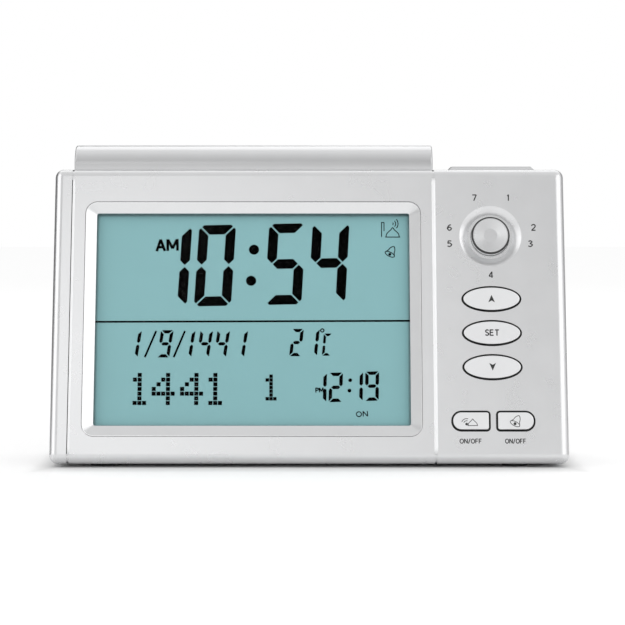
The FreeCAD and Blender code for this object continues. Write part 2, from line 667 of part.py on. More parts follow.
def rear_housing():
    shell = joined("Cut", "rear_shell", case_form("rear_outside", "0", "edge_round"),
                   case_form("rear_inside", "wall", "hollow_round"),
                   half_space("rear_space", "-parting_depth", "2*case_height"))
    filled = joined("MultiFuse", "rear_filled", shell, *rear_supports())
    finish(joined("Cut", "rear_housing", filled, *rear_openings(),
                  foot_recesses("rear_foot_seats", "trim_gap", (REAR_FEET,))), "rear_housing")


def rubber_feet():
    finish(foot_recesses("rubber_feet", "0", (FRONT_FEET, REAR_FEET)), "rubber_feet")


def screw_group(label, frame, spots, head_top, radius, length, head_radius, head_height):
    """Equal screws with crossed slots, their heads facing away from the frame's z."""
    body = new_body(label, frame)
    for x, y in spots:
        rod(body, x, y, (f"{head_top}", f"{head_top} + {length}"), radius)
        rod(body, x, y, (f"{head_top} - {head_height}", head_top), head_radius)
        slot, reach = f"{head_radius}*cross_width_share", f"{head_radius}*cross_reach_share"
        for wide, tall in ((slot, reach), (reach, slot)):
            block(body, (f"{x} - {wide}", f"{x} + {wide}"), (f"{y} - {tall}", f"{y} + {tall}"),
                  (f"{head_top} - {head_height}", f"{head_top} - {head_height}/2"), cut=True)
    finish(body, label)


# Display

def window_outline(sketch, grow_x, grow_y, corner="window_corner"):
    """A rectangle round the clear area of the display, larger by two rules."""
    half_x = f"(bezel_width/2 - bezel_band + {grow_x})"
    half_y = f"(bezel_height/2 - bezel_band + {grow_y})"
    return rounded(sketch, f"display_x - {half_x}", f"display_y - {half_y}",
                   f"display_x + {half_x}", f"display_y + {half_y}", (corner,) * 4)


def display_plate(label, top, bottom, grow_x, grow_y):
    body = new_body(label, "face")
    pad(body, window_outline(new_sketch(body, bottom), grow_x, grow_y),
        f"({top}) - ({bottom})")
    return finish(body, label)


WINDOW_FRONT = "(-bezel_drop - bezel_edge)"
WINDOW_REAR = f"({WINDOW_FRONT} - window_thick)"
GLASS_FRONT = f"({WINDOW_REAR} - film_thick)"
GLASS_MIDDLE = f"({GLASS_FRONT} - glass_thick)"
GLASS_REAR = f"({GLASS_MIDDLE} - glass_thick)"
FILM_REAR = f"({GLASS_REAR} - film_thick)"
GUIDE_REAR = f"({FILM_REAR} - guide_thick)"
LOW_LEDGE, HIGH_LEDGE = (f"(display_y + {side}*(bezel_height/2 - bezel_band + glass_margin_y "
                         f"+ ledge_width/2))" for side in (-1, 1))


def display_bezel():
    """A sloping frame with a flange that seats behind the front wall."""
    body = new_body("display_bezel", "face")
    pad(body, bezel_outline(new_sketch(body, WINDOW_REAR), "0", "bezel_corner"),
        f"-{WINDOW_REAR}")
    pad(body, bezel_outline(new_sketch(body, WINDOW_REAR), "flange_width",
                            "bezel_corner + flange_width"), f"-wall - {WINDOW_REAR}")
    slope = body.newObject("PartDesign::SubtractiveLoft", "bezel_slope")
    upper = bezel_outline(new_sketch(body, "0"), "-bezel_rim", "bezel_corner - bezel_rim")
    lower = window_outline(new_sketch(body, "-bezel_drop"), "0", "0")
    slope.Profile = upper
    slope.Sections = [lower]
    slope.Ruled = True
    pocket(body, window_outline(new_sketch(body, "0"), "0", "0"), "3*wall")
    pocket(body, window_outline(new_sketch(body, WINDOW_REAR), "window_overlap + trim_gap",
                                "window_overlap + trim_gap"), "window_thick", upward=True)
    finish(body, "display_bezel")


def lcd_glass():
    """Two bonded plates: the front one stands past the rear one for its contacts."""
    body = new_body("lcd_glass", "face")
    pad(body, window_outline(new_sketch(body, GLASS_MIDDLE), "glass_margin",
                             "glass_margin_y + ledge_width"), "glass_thick")
    pad(body, window_outline(new_sketch(body, GLASS_REAR), "glass_margin", "glass_margin_y"),
        "glass_thick")
    finish(body, "lcd_glass")


def lcd_holder():
    """A tray round the glass that spaces it from the main board."""
    body = new_body("lcd_holder", "face")
    pad(body, window_outline(new_sketch(body, "-main_board_depth"),
                             "glass_margin + trim_gap + holder_wall",
                             "glass_margin_y + ledge_width + trim_gap + holder_wall"),
        f"{WINDOW_REAR} + main_board_depth")
    pocket(body, window_outline(new_sketch(body, WINDOW_REAR), "glass_margin + trim_gap",
                                "glass_margin_y + ledge_width + trim_gap"),
           f"{WINDOW_REAR} - {GLASS_MIDDLE}")
    pocket(body, window_outline(new_sketch(body, GLASS_MIDDLE), "glass_margin + trim_gap",
                                "glass_margin_y + trim_gap"),
           f"{GLASS_MIDDLE} - {GUIDE_REAR}")
    pocket(body, window_outline(new_sketch(body, GUIDE_REAR), "-glass_margin",
                                "-glass_margin"), "2*wall")
    for ledge in (LOW_LEDGE, HIGH_LEDGE):
        block(body, ("display_x - zebra_length/2 - trim_gap",
                     "display_x + zebra_length/2 + trim_gap"),
              (f"{ledge} - zebra_thick/2 - trim_gap", f"{ledge} + zebra_thick/2 + trim_gap"),
              ("-2*main_board_depth", GLASS_MIDDLE), cut=True)
    finish(body, "lcd_holder")


def backlight():
    guide = new_body("backlight_guide", "face")
    half_x = "(bezel_width/2 - bezel_band + glass_margin)"
    half_y = "(bezel_height/2 - bezel_band + glass_margin_y)"
    block(guide, (f"display_x - {half_x} + led_depth + trim_gap", f"display_x + {half_x}"),
          (f"display_y - {half_y}", f"display_y + {half_y}"), (GUIDE_REAR, FILM_REAR))
    finish(guide, "backlight_guide")
    lamps = new_body("backlight_leds", "face")
    for k in (-1, 0, 1):
        spot = f"display_y + {k}*led_pitch"
        block(lamps, (f"display_x - {half_x}", f"display_x - {half_x} + led_depth"),
              (f"{spot} - led_width/2", f"{spot} + led_width/2"), (GUIDE_REAR, FILM_REAR))
    finish(lamps, "backlight_leds")


def zebra_strips():
    body = new_body("zebra_strips", "face")
    for ledge in (LOW_LEDGE, HIGH_LEDGE):
        block(body, ("display_x - zebra_length/2", "display_x + zebra_length/2"),
              (f"{ledge} - zebra_thick/2", f"{ledge} + zebra_thick/2"),
              ("-main_board_depth", GLASS_MIDDLE))
    finish(body, "zebra_strips")


# Circuit boards

def circuit_board(label, frame, x, y, level, holes, notches=()):
    """A board whose upper side lies at a level, with screw holes and corner notches."""
    body = new_body(label, frame)
    block(body, x, y, (f"{level} - board_thick", level))
    for hole_x, hole_y in holes:
        rod(body, hole_x, hole_y, (f"{level} - 2*board_thick", f"{level} + board_thick"),
            "screw_radius + trim_gap", cut=True)
    for notch_x, notch_y in notches:
        rod(body, notch_x, notch_y, (f"{level} - 2*board_thick", f"{level} + board_thick"),
            "boss_radius + seat_gap", cut=True)
    finish(body, label)


def main_electronics():
    left, right = (f"{post[0]} + {side}*(post_radius + seat_gap/2)"
                   for side, post in ((-1, BOARD_POSTS[0]), (1, BOARD_POSTS[-1])))
    half = "(bezel_height/2 - bezel_band + glass_margin_y + ledge_width)"
    circuit_board("main_board", "face", (left, right),
                  (f"display_y - {half}", f"display_y + {half}"), "-main_board_depth",
                  BOARD_POSTS, CASE_SCREWS[:2])
    screw_group("board_screws", "face", BOARD_POSTS, "(-main_board_depth - board_thick)",
                "screw_radius", "screw_length", "screw_head_radius", "screw_head_height")
    rear = "(-main_board_depth - board_thick)"
    chips = new_body("main_chips", "face")
    for x, y, wide, tall in CHIPS:
        block(chips, (f"display_x + {x} - {wide}/2", f"display_x + {x} + {wide}/2"),
              (f"display_y + {y} - {tall}/2", f"display_y + {y} + {tall}/2"),
              (f"{rear} - chip_height", rear))
    finish(chips, "main_chips")
    parts = new_body("board_components", "face")
    for x, y in CAPACITORS:
        rod(parts, f"display_x + {x}", f"display_y + {y}", (f"{rear} - capacitor_height", rear),
            "capacitor_radius")
    for x, y in CONNECTORS:
        block(parts, (f"display_x + {x} - connector_width/2", f"display_x + {x} + connector_width/2"),
              (f"display_y + {y} - connector_depth/2", f"display_y + {y} + connector_depth/2"),
              (f"{rear} - connector_height", rear))
    finish(parts, "board_components")
    sensor = new_body("temperature_sensor", "face")
    rod(sensor, "display_x + sensor_x", "display_y + sensor_y", (f"{rear} - sensor_height", rear),
        "sensor_radius")
    finish(sensor, "temperature_sensor")


CHIPS = ((-12, -8, 14, 14), (24, 12, 10, 6), (34, -24, 8, 6))
CAPACITORS = ((-38, 24), (-30, 24), (6, 28))
CONNECTORS = (("ribbon_x", -6), (52, 24), (-48, -30))


def key_switches(label, frame, spots, level):
    """Square switch housings on a board, each with a well for its plunger."""
    body = new_body(label, frame)
    for x, y in spots:
        block(body, (f"{x} - switch_side/2", f"{x} + switch_side/2"),
              (f"{y} - switch_side/2", f"{y} + switch_side/2"),
              (level, f"{level} + switch_height"))
        rod(body, x, y, (f"{level} + switch_height - plunger_well",
                         f"{level} + 2*switch_height"), "plunger_radius + plunger_fit", cut=True)
    finish(body, label)


def plunger(label, frame, x, y, level):
    body = new_body(label, frame)
    rod(body, x, y, (f"{level} + switch_height - plunger_root",
                     f"{level} + switch_height + plunger_proud"), "plunger_radius")
    finish(body, label)


FLANGE_TOP = "(-wall - seat_gap)"
FLANGE_LOW = f"({FLANGE_TOP} - key_flange_thick)"
KEY_LEVEL = "(-key_board_depth)"
TOP_LEVEL = "(-top_board_drop)"


def moulded_key(label, outline, x, y):
    """A hollow key with a retaining flange and a post that meets its switch."""
    body = new_body(label, "face")
    pad(body, outline(new_sketch(body, FLANGE_LOW), "key_flange"), "key_flange_thick")
    pad(body, outline(new_sketch(body, FLANGE_LOW), "0"), f"key_proud - {FLANGE_LOW}")
    blend_edges(body, "key_edge", at_height("key_proud"))
    pocket(body, outline(new_sketch(body, FLANGE_LOW), "-key_skin"),
           f"key_proud - key_skin - {FLANGE_LOW}", upward=True)
    rod(body, x, y, (f"{KEY_LEVEL} + switch_height + plunger_proud", "key_proud - key_skin/2"),
        "plunger_radius")
    finish(body, label)
    plunger(label.replace("_key", "_plunger"), "face", x, y, KEY_LEVEL)


def face_keys():
    for label, y in OVAL_KEYS:
        moulded_key(label, lambda sketch, grow, y=y: oval_outline(sketch, y, grow),
                    "control_x", y)
    for label, side in TOGGLE_KEYS:
        moulded_key(label, lambda sketch, grow, side=side: toggle_outline(sketch, side, grow),
                    f"(control_x + {side}*toggle_offset)", "toggle_y")
    circuit_board("key_board", "face",
                  ("control_x - key_board_width/2", "control_x + key_board_width/2"),
                  ("key_board_low", "key_board_high"), KEY_LEVEL, KEY_POSTS)
    screw_group("key_board_screws", "face", KEY_POSTS, f"({KEY_LEVEL} - board_thick)",
                "screw_radius", "screw_length", "screw_head_radius", "screw_head_height")
    spots = [("control_x", y) for label, y in OVAL_KEYS]
    spots += [(f"(control_x + {side}*toggle_offset)", "toggle_y") for label, side in TOGGLE_KEYS]
    key_switches("key_switch_bodies", "face", spots, KEY_LEVEL)


# Selector

def selector():
    knob = new_body("selector_knob", "face")
    x, y = "control_x", "selector_y"
    rod(knob, x, y, ("-knob_tail", "knob_proud"), "knob_radius")
    blend_edges(knob, "knob_chamfer", at_height("knob_proud"), "PartDesign::Chamfer")
    taper(knob, x, y, ("knob_proud - knob_hollow", "knob_proud"), "knob_flat_radius",
          "knob_radius - knob_chamfer - knob_rim", cut=True)
    roof = "(-shaft_top)"
    sketch = circle(new_sketch(knob, "-knob_tail"), x, y, "knob_radius - knob_wall")
    circle(sketch, x, y, "hub_radius")
    pocket(knob, sketch, f"{roof} + knob_tail - knob_wall/2", upward=True)
    rod(knob, x, y, ("-2*knob_tail", roof), "shaft_radius + shaft_fit", cut=True)
    finish(knob, "selector_knob")
    shaft = new_body("selector_shaft", "face")
    low = f"({KEY_LEVEL} + switch_height/8)"
    rod(shaft, x, y, (low, f"{roof} - shaft_fit"), "shaft_radius")
    block(shaft, (f"{x} - 2*shaft_radius", f"{x} + 2*shaft_radius"),
          (f"{y} + shaft_radius - shaft_flat", f"{y} + 2*shaft_radius"),
          ("-knob_tail", "wall"), cut=True)
    finish(shaft, "selector_shaft")
    switch = new_body("selector_switch", "face")
    block(switch, (f"{x} - rotary_side/2", f"{x} + rotary_side/2"),
          (f"{y} - rotary_side/2", f"{y} + rotary_side/2"),
          (KEY_LEVEL, f"{KEY_LEVEL} + rotary_height"))
    rod(switch, x, y, (KEY_LEVEL, f"{KEY_LEVEL} + rotary_height + rotary_bush_height"),
        "rotary_bush_radius")
    rod(switch, x, y, (f"{low} - shaft_fit", "wall"), "shaft_radius + shaft_fit", cut=True)
    finish(switch, "selector_switch")


# Snooze bar and light key

def bar_form(name, inset):
    """The bar with its large front rounding, drawn in by an inset; open below."""
    body = new_body(name, "top")
    front, back = f"(bar_front + {inset})", f"({BAR_BACK} - {inset})"
    high = f"(bar_height - {inset})"
    sketch = new_sketch(body, "display_x", role="YZ_Plane")
    polygon(sketch, ((front, FLANGE_LOW), (back, FLANGE_LOW), (back, high), (front, high)))
    pad(body, sketch, f"panel_width - 2*({inset})", both_ways=True)
    blend_edges(body, f"bar_front_round - {inset}", along_x(front, high))
    blend_edges(body, f"bar_back_round - {inset}", along_x(back, high))
    return body


def snooze_bar():
    outside = bar_form("bar_outside", "0")
    ends = [number_of(end) for end in BAR_ENDS]
    blend_edges(outside, "bar_end_round", lambda edge: any(
        all(abs(vertex.X - end) < 1e-4 for vertex in edge.Vertexes) for end in ends))
    inside = bar_form("bar_inside", "bar_wall")
    extras = new_body("bar_fittings", "top")
    for y in (("bar_front - bar_lip", "bar_front + bar_wall"),
              (f"{BAR_BACK} - bar_wall", f"{BAR_BACK} + bar_lip")):
        block(extras, (f"{BAR_ENDS[0]} + 2*bar_wall", f"{BAR_ENDS[1]} - 2*bar_wall"), y,
              (FLANGE_LOW, FLANGE_TOP))
    rod(extras, "snooze_switch_x", "top_row_y",
        (f"{TOP_LEVEL} + switch_height + plunger_proud", "bar_height - bar_wall/2"),
        "snooze_post_radius")
    shell = joined("Cut", "bar_shell", outside, inside)
    finish(joined("MultiFuse", "snooze_bar", shell, extras), "snooze_bar")
    plunger("snooze_plunger", "top", "snooze_switch_x", "top_row_y", TOP_LEVEL)


def light_key():
    body = new_body("light_key", "top")
    x, y = "light_x", "top_row_y"
    half_x, half_y = "light_width/2", "light_depth/2"
    block(body, (f"{x} - {half_x}", f"{x} + {half_x}"), (f"{y} - {half_y}", f"{y} + {half_y}"),
          (FLANGE_LOW, "light_proud"))
    blend_edges(body, "light_bevel", at_height("light_proud"), "PartDesign::Chamfer")
    block(body, (f"{x} - {half_x} - key_flange", f"{x} + {half_x} + key_flange"),
          (f"{y} - {half_y} - key_flange", f"{y} + {half_y} + key_flange"),
          (FLANGE_LOW, FLANGE_TOP))
    block(body, (f"{x} - {half_x} + 2*key_skin", f"{x} + {half_x} - 2*key_skin"),
          (f"{y} - {half_y} + 2*key_skin", f"{y} + {half_y} - 2*key_skin"),
          (f"2*{FLANGE_LOW}", "light_proud - key_skin"), cut=True)
    rod(body, x, y, (f"{TOP_LEVEL} + switch_height + plunger_proud", "light_proud - key_skin/2"),
        "snooze_post_radius")
    finish(body, "light_key")
    plunger("light_plunger", "top", x, y, TOP_LEVEL)


def top_electronics():
    circuit_board("top_board", "top", ("top_board_left", "top_board_right"),
                  ("top_row_y - top_board_depth/2", "top_row_y + top_board_depth/2"),
                  TOP_LEVEL, TOP_POSTS)
    screw_group("top_board_screws", "top", TOP_POSTS, f"({TOP_LEVEL} - board_thick)",
                "top_pilot_radius", "screw_length", "screw_head_radius", "screw_head_height")
    key_switches("top_switch_bodies", "top",
                 (("snooze_switch_x", "top_row_y"), ("light_x", "top_row_y")), TOP_LEVEL)


# Power

def cells_and_contacts():
    cells = new_body("batteries", "back")
    plates = new_body("battery_contacts", "back")
    level = "(-door_thick - cell_gap - cell_radius)"
    springs = []
    for row in range(3):
        y = cell_y(row)
        turn = 1 if row % 2 == 0 else -1
        plus, minus = (BAY_HIGH_X, BAY_LOW_X) if turn > 0 else (BAY_LOW_X, BAY_HIGH_X)
        tip = f"({plus} - {turn}*(contact_thick + trim_gap/2))"
        shoulder = f"({tip} - {turn}*cell_nub)"
        tail = f"({shoulder} - {turn}*cell_length)"
        for start, end, radius in ((tail, shoulder, "cell_radius"),
                                   (shoulder, tip, "cell_nub_radius")):
            side_rod(cells, (start, end) if turn > 0 else (end, start), y, level, radius)
        for wall_x, inward in ((plus, -turn), (minus, turn)):
            inner = f"{wall_x} + {inward}*contact_thick"
            block(plates, (wall_x, inner) if inward > 0 else (inner, wall_x),
                  (f"{y} - contact_side/2", f"{y} + contact_side/2"),
                  (f"{level} - contact_side/2", f"{level} + contact_side/2"))
        wire = number_of("spring_wire")
        coil = number_of(f"spring_room - contact_thick + plate_room - contact_thick - trim_gap/2")
        base = number_of(minus) + turn * (number_of("contact_thick") + wire)
        spring = helix_spring(Vector(0, number_of(y), number_of(level)),
                              number_of("spring_radius"), wire, number_of("spring_turns"),
                              coil - 2 * wire)
        if turn < 0:
            spring = spring.mirror(Vector(), Vector(1, 0, 0))
        spring.translate(Vector(base, 0, 0))
        springs.append(spring)
    for x_low, row in TAIL_SPOTS:
        block(plates, (x_low, f"{x_low} + contact_thick"),
              (f"{cell_y(row)} - tail_half", f"{cell_y(row)} + tail_half"),
              (f"-{BAY_FLOOR} - bay_wall - tail_reach", f"{level} - contact_side/4"))
    finish(cells, "batteries")
    finish(plates, "battery_contacts")
    coils = doc.addObject("Part::Feature", "battery_springs")
    coils.Shape = Part.makeCompound(springs)
    finish(seat(coils, "back"), "battery_springs")


def battery_door():
    body = new_body("battery_door", "back")
    gap, ledge = "trim_gap", "door_ledge"
    block(body, (f"{BAY_LOW_X} - {ledge} + {gap}", f"{BAY_HIGH_X} + {ledge} - {gap}"),
          (f"bay_low - {ledge} + {gap}", f"{BAY_TOP} + {ledge} - {gap}"), ("-door_thick", "0"))
    for low, high in ((f"bay_low + {gap}", f"bay_low + {gap} + rib_thick"),
                      (f"{BAY_TOP} - {gap} - rib_thick", f"{BAY_TOP} - {gap}")):
        block(body, (f"{BAY_LOW_X} + door_tab", f"{BAY_HIGH_X} - door_tab"), (low, high),
              ("-door_thick - door_tab", "-door_thick"))
    for k in range(4):
        low = f"({BAY_TOP} - ridge_top - {k}*ridge_pitch)"
        block(body, ("bay_x - ridge_half", "bay_x + ridge_half"), (f"{low} - ridge_width", low),
              ("-door_thick/3", "wall"), cut=True)
    finish(body, "battery_door")


# Speaker

def speaker():
    x, y, seat_level = "speaker_x", "speaker_z", "(-wall)"
    rim_rear = f"({seat_level} - rim_thick)"
    basket_rear = f"({rim_rear} - basket_depth)"
    frame = new_body("speaker_frame", "back")
    rod(frame, x, y, (rim_rear, seat_level), "speaker_radius")
    taper(frame, x, y, (basket_rear, rim_rear), "basket_back_radius", "speaker_radius - rim_thick/2")
    rod(frame, x, y, (f"{basket_rear} - rim_thick", basket_rear), "basket_back_radius")
    taper(frame, x, y, (basket_rear, rim_rear), "basket_back_radius - rim_thick",
          "speaker_radius - 1.5*rim_thick", cut=True)
    rod(frame, x, y, (f"2*{basket_rear}", "wall"), "coil_radius + seat_gap", cut=True)
    rod(frame, x, y, (f"{rim_rear} - trim_gap", "wall"), "surround_radius - surround_lap", cut=True)
    finish(frame, "speaker_frame")
    magnet = new_body("speaker_magnet", "back")
    magnet_top = f"({basket_rear} - rim_thick)"
    rod(magnet, x, y, (f"{magnet_top} - magnet_depth", magnet_top), "magnet_radius")
    rod(magnet, x, y, (f"{magnet_top} - magnet_depth/2", "wall"), "coil_radius + seat_gap",
        cut=True)
    finish(magnet, "speaker_magnet")
    cone = new_body("speaker_cone", "back")
    cone_top = f"({rim_rear} - cone_thick)"
    throat = f"({cone_top} - cone_drop)"
    rod(cone, x, y, (cone_top, rim_rear), "surround_radius")
    taper(cone, x, y, (throat, cone_top), "coil_radius", "cone_mouth")
    rod(cone, x, y, (f"{basket_rear} - rim_thick", throat), "coil_radius")
    taper(cone, x, y, (f"{throat} + cone_thick", rim_rear), "coil_radius - cone_thick",
          "cone_mouth - cone_thick", cut=True)
    finish(cone, "speaker_cone")
    clamps = new_body("speaker_clamps", "back")
    for spot_x, spot_y in speaker_spots():
        rod(clamps, spot_x, spot_y, (f"{rim_rear} - clamp_thick", rim_rear), "clamp_radius")
        rod(clamps, spot_x, spot_y, (f"2*{rim_rear}", "0"), "screw_radius + trim_gap/2", cut=True)
    finish(clamps, "speaker_clamps")
    screw_group("speaker_screws", "back", speaker_spots(), f"({rim_rear} - clamp_thick)",
                "screw_radius", "speaker_screw_length", "screw_head_radius", "screw_head_height")


# Wires

def face_point(x, y, z):
    """A point of the face frame in the model's own frame, from three rules."""
    lean = math.radians(number_of("lean_angle"))
    along, out = number_of(y), number_of(z)
    return Vector(number_of(x),
                  along * math.sin(lean) - out * math.cos(lean) - number_of(FACE_FOOT),
                  along * math.cos(lean) + out * math.sin(lean) + number_of("foot_height"))


def back_point(x, y, z):
    return Vector(-number_of(x), number_of("base_depth/2") + number_of(z), number_of(y))


def lead(connector, side, out_length, end, in_length, rise):
    """A wire from a connector of the main board to a point near the rear wall."""
    rear = "(-main_board_depth - board_thick - connector_height)"
    x = f"display_x + {connector[0]} + {side}*wire_pitch"
    y = f"display_y + {connector[1]}"
    start, out = face_point(x, y, rear), face_point(x, y, f"{rear} - {out_length}")
    before = end - Vector(0, number_of(in_length), 0)
    middle = (out + before) * 0.5 + Vector(0, 0, number_of(rise))
    return bent_wire((start, out, middle, before, end), number_of("wire_radius"),
                     number_of("wire_bend"))


def wires():
    magnet_rear = "(-wall - rim_thick - basket_depth - rim_thick - magnet_depth)"
    to_speaker = [
        lead(CONNECTORS[1], side, "speaker_lead_out",
             back_point(f"speaker_x + {side}*2*wire_pitch", "speaker_z + magnet_radius/2",
                        magnet_rear), "speaker_lead_in", "speaker_lead_rise")
        for side in (-1, 1)]
    tail_end = f"-{BAY_FLOOR} - bay_wall - tail_reach"
    to_battery = [
        lead(CONNECTORS[2], side, "battery_lead_out",
             back_point(f"{x_low} + contact_thick/2", cell_y(row), tail_end),
             "battery_lead_in", "-battery_lead_drop")
        for side, (x_low, row) in zip((1, -1), TAIL_SPOTS)]
    for label, leads in (("speaker_wires", to_speaker), ("battery_wires", to_battery)):
        pair = doc.addObject("Part::Feature", label)
        pair.Shape = Part.makeCompound(leads)
        finish(pair, label)


def flat_cable():
    """A ribbon that steps from the back of the main board to the back of the key board."""
    body = new_body("flat_cable", "face")
    main_rear = "(-main_board_depth - board_thick - connector_height)"
    key_rear = "(-key_board_depth - board_thick)"
    left = f"(display_x + {CONNECTORS[0][0]})"
    right = "(control_x - key_board_width/2 + 2*flat_cable_drop)"
    low = f"({main_rear} - flat_cable_drop)"
    thick = "flat_cable_thick"
    sketch = new_sketch(body, f"-(display_y + {CONNECTORS[0][1]} + flat_cable_width/2)",
                        role="XZ_Plane")
    polygon(sketch, ((left, main_rear), (left, low), (right, low), (right, key_rear),
                     (f"{right} - {thick}", key_rear), (f"{right} - {thick}", f"{low} + {thick}"),
                     (f"{left} + {thick}", f"{low} + {thick}"), (f"{left} + {thick}", main_rear)))
    pad(body, sketch, "flat_cable_width")
    finish(body, "flat_cable")


def check_model():
    """Stop if any object failed, or if a sub-part is empty, broken or lost a piece."""
    failed = [item.Name for item in doc.Objects
              if "Invalid" in item.State or "Error" in item.State]
    if failed:
        raise RuntimeError("failed objects: " + ", ".join(failed))
    for label, thing in nodes.items():
        shape = thing.Shape
        if shape.isNull() or not shape.isValid() or not shape.Solids:
            raise RuntimeError("bad sub-part: " + label)


front_housing()
rear_housing()
rubber_feet()
screw_group("housing_screws", "face", CASE_SCREWS, "(-parting_depth - well_floor)",
            "case_screw_radius", "case_screw_length", "case_head_radius", "case_head_height")
display_bezel()
display_plate("display_window", WINDOW_FRONT, WINDOW_REAR, "window_overlap", "window_overlap")
display_plate("lcd_front_film", WINDOW_REAR, GLASS_FRONT, "glass_margin_y", "glass_margin_y")
lcd_glass()
display_plate("lcd_rear_film", GLASS_REAR, FILM_REAR, "glass_margin_y", "glass_margin_y")
lcd_holder()
backlight()
zebra_strips()
main_electronics()
face_keys()
selector()
snooze_bar()
light_key()
top_electronics()
cells_and_contacts()
battery_door()
speaker()
flat_cable()
wires()
doc.recompute()
check_model()

os.makedirs("parts", exist_ok=True)
for label, thing in nodes.items():
    thing.Shape.exportStep(f"parts/{label}.step")
print(len(nodes), "sub-parts written")
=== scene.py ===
"""Looks of a desk clock with a large display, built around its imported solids.

Lengths are in millimetres in the clock's face frame, and metres once placed: x runs to the right,
v runs up the sloping face from the case's underside, and w stands out from the face.
"""
import math

import bmesh
import bpy
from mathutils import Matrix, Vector


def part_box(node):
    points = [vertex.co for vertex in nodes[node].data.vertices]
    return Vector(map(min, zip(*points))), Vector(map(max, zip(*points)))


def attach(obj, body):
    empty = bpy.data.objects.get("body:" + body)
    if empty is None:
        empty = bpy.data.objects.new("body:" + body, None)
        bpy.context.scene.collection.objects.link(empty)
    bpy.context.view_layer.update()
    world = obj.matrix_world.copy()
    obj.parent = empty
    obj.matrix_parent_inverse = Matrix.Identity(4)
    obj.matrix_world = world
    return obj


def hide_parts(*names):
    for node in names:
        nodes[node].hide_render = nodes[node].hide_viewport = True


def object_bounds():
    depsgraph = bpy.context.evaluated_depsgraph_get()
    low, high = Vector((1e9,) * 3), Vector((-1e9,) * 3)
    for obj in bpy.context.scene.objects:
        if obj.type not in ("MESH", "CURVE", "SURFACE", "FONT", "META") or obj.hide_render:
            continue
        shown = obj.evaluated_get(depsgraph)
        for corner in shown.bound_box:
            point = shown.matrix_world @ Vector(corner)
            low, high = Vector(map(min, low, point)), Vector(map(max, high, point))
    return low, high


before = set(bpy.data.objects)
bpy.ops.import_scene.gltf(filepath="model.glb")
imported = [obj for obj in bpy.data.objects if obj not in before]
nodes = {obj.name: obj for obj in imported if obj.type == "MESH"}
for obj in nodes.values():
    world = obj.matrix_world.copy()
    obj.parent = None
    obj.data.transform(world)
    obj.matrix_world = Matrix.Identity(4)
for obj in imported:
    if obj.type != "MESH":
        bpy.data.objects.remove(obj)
cad_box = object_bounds()

MM = 0.001

# The face frame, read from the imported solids
SIDEWAYS = Vector((1, 0, 0))
film_faces = [side for side in nodes["lcd_front_film"].data.polygons if side.normal.y < 0]
OUT = max(film_faces, key=lambda side: side.area).normal.copy().normalized()
UP = OUT.cross(SIDEWAYS)
case_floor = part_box("front_housing")[0].z
face_reach = max(OUT.dot(point.co) for point in nodes["front_housing"].data.vertices)
FOOT = Vector((0, (case_floor * OUT.z - face_reach) / -OUT.y, case_floor))


def face(x, v, w=0.0):
    """A place on the face, in metres in the clock's own frame."""
    return FOOT + (SIDEWAYS * x + UP * v + OUT * w) * MM


def span(node):
    """The lowest and highest x, v and w of a solid, in millimetres."""
    places = [(point.co - FOOT) / MM for point in nodes[node].data.vertices]
    axes = [[place.dot(axis) for place in places] for axis in (SIDEWAYS, UP, OUT)]
    return [min(values) for values in axes], [max(values) for values in axes]


def middle(node):
    """The centre of a solid along x and v."""
    low, high = span(node)
    return (low[0] + high[0]) / 2, (low[1] + high[1]) / 2


# ---------------------------------------------------------------- finishes

def tone(level, tint=(1, 1, 1)):
    """A grey of that linear level, tinted."""
    return tuple(level * part for part in tint) + (1,)


def noise(tree, size, stretch=(1, 1, 1), detail=2.0):
    """Noise with features of that size in millimetres, fixed to the clock."""
    place = tree.nodes.new("ShaderNodeTexCoord")
    stretched = tree.nodes.new("ShaderNodeMapping")
    stretched.inputs["Scale"].default_value = stretch
    texture = tree.nodes.new("ShaderNodeTexNoise")
    texture.inputs["Scale"].default_value = 1 / (size * MM)
    texture.inputs["Detail"].default_value = detail
    tree.links.new(place.outputs["Object"], stretched.inputs["Vector"])
    tree.links.new(stretched.outputs["Vector"], texture.inputs["Vector"])
    return texture.outputs["Fac"]


def ramp(tree, driver, low, high, start=0.3, end=0.7):
    """Colours that run from low to high as the driver goes from start to end."""
    colours = tree.nodes.new("ShaderNodeValToRGB")
    colours.color_ramp.elements[0].position = start
    colours.color_ramp.elements[0].color = low
    colours.color_ramp.elements[1].position = end
    colours.color_ramp.elements[1].color = high
    tree.links.new(driver, colours.inputs["Fac"])
    return colours.outputs["Color"]


def between(tree, driver, low, high):
    """A number that runs from low to high as the driver goes from 0.25 to 0.75."""
    scaled = tree.nodes.new("ShaderNodeMapRange")
    scaled.inputs["From Min"].default_value = 0.25
    scaled.inputs["From Max"].default_value = 0.75
    scaled.inputs["To Min"].default_value = low
    scaled.inputs["To Max"].default_value = high
    tree.links.new(driver, scaled.inputs["Value"])
    return scaled.outputs["Result"]


def calc(tree, operation, *terms):
    """One sum on sockets and plain numbers."""
    node = tree.nodes.new("ShaderNodeMath")
    node.operation = operation
    for socket, term in zip(node.inputs, terms):
        if isinstance(term, (int, float)):
            socket.default_value = term
        else:
            tree.links.new(term, socket)
    return node.outputs["Value"]


def along(tree, axis, start):
    """How far a place of the piece lies along an axis, past a start, in millimetres."""
    place = tree.nodes.new("ShaderNodeTexCoord")
    reach = tree.nodes.new("ShaderNodeVectorMath")
    reach.operation = "DOT_PRODUCT"
    reach.inputs[1].default_value = axis / MM
    tree.links.new(place.outputs["Object"], reach.inputs[0])
    return calc(tree, "SUBTRACT", reach.outputs["Value"], start.dot(axis) / MM)


def least(tree, *terms):
    """The lowest of several sockets."""
    lowest = terms[0]
    for term in terms[1:]:
        lowest = calc(tree, "MINIMUM", lowest, term)
    return lowest


